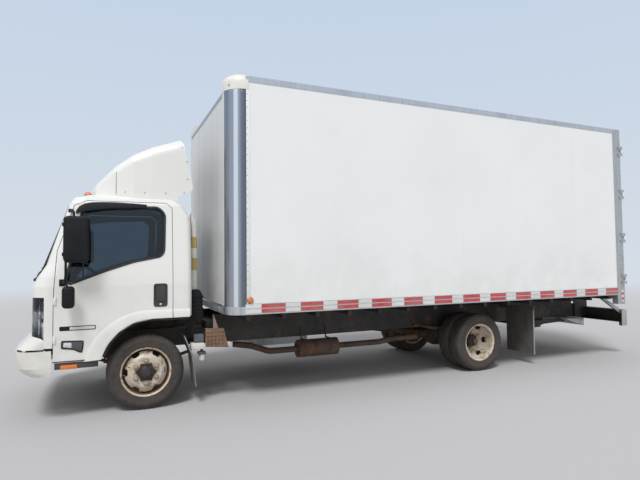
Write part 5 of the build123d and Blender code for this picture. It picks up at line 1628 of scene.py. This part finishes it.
def makeBrakeLines():
    # lines along the frame, brake chambers, and the shock absorbers beside both axles
    piece = Piece("brakeLines", "chassis")
    for y, z in ((0.405, 0.735), (0.405, 0.712), (-0.405, 0.735)):
        piece.tube([(0.60, y, z), (-0.9, y, z), (-2.6, y, z - 0.01), (-4.1, y, z), (-6.0, y, z)], 0.008,
                   "darkRubber", 6)
    for piece.side in (-1, 1):
        piece.knob([(0.060, 0), (0.078, 0.016), (0.078, 0.070), (0.060, 0.086)],
                   (rearStation + 0.250, 0.300, 0.430), (-1, 0, 0.05), "castIron")
        piece.tube([(0.02, 0.52, 0.46), (0.02, 0.52, 0.60), (0.10, 0.47, 0.72)], 0.020, "chassisBlack", 12)
        damper = [(rearStation - 0.12, 0.40, 0.46), (rearStation - 0.22, 0.36, 0.74)]
        piece.tube(damper, 0.024, "chassisBlack", 12)
    piece.done()


def makeFrameBolts(side, name):
    head = domeUnit("frameBolt", 0.011, 0.009, side, sides=6)
    rowsOf("frameBolts_" + name, "chassis", head,
           [((0.80, side * (railFace + 0.0001), z), (-0.26, 0, 0), 30, "castIron") for z in (0.630, 0.740)])


def makeSideShield():
    # the leaning plate behind the front wheel with its stay, lip and box, and dark rimmed discs painted as
    # the shade in its pattern of holes
    plate = Piece("sideShield", "chassis")
    face = [(-0.630, 0.616), (-0.893, 0.596), (-0.837, 0.807), (-0.630, 0.820)]
    stay = [(-0.720, 0.982), (-0.715, 0.800), (-0.784, 0.800)]
    lip = [(-0.845, 0.806), (-0.625, 0.818), (-0.625, 0.824), (-0.845, 0.812)]
    plate.prism(face, 0.930, 0.938, "shieldRust", 0.001)
    plate.prism(stay, 0.922, 0.9295, "dustySteel", 0.001)
    plate.prism(lip, 0.905, 0.9385, "shieldRust", 0.001)
    plate.block((-0.800, railFace, 0.798), (-0.640, 0.928, 0.806), "chassisBlack", 0.001)
    plate.block((-0.760, railFace, 0.700), (-0.660, 0.440, 0.800), "chassisBlack", 0.001)
    plate.block((-0.780, 0.600, 0.806), (-0.640, 0.900, 0.900), "mirrorBlack", 0.006)
    plate.done(["side_shield"])
    # dark discs on the plate: painted shade of its holes
    rim = ((0.009, 0.0), (0.009, 0.0015), (0.0065, 0.0015), (0.0065, 0.0004))
    points = [(x, h, z) for r, h in rim for x, z in (polar(r, 30 * step) for step in range(12))]
    holeShade = unitMesh("shieldEyelet", points, skinFaces(4, 12))
    rowsOf("shieldHoles", "chassis", holeShade,
           [((-0.658, 0.9381, 0.646 + 0.042 * row), (-0.042, 0, 0), 5, "darkRubber") for row in range(4)])


makeSeats()
for side, name in sideNames:
    makeRearDoorParts(side, name)
makeBoxLamps()
makeBumperEnds()
makeAirTank()
makeFoldedLift()
makeFilterAndCovers()
for side, name in sideNames:
    makeGuardEdges(side, name)
makeBrakeLines()
for side, name in sideNames:
    makeFrameBolts(side, name)
makeSideShield()
print("seats, rear end and underbody pieces made")
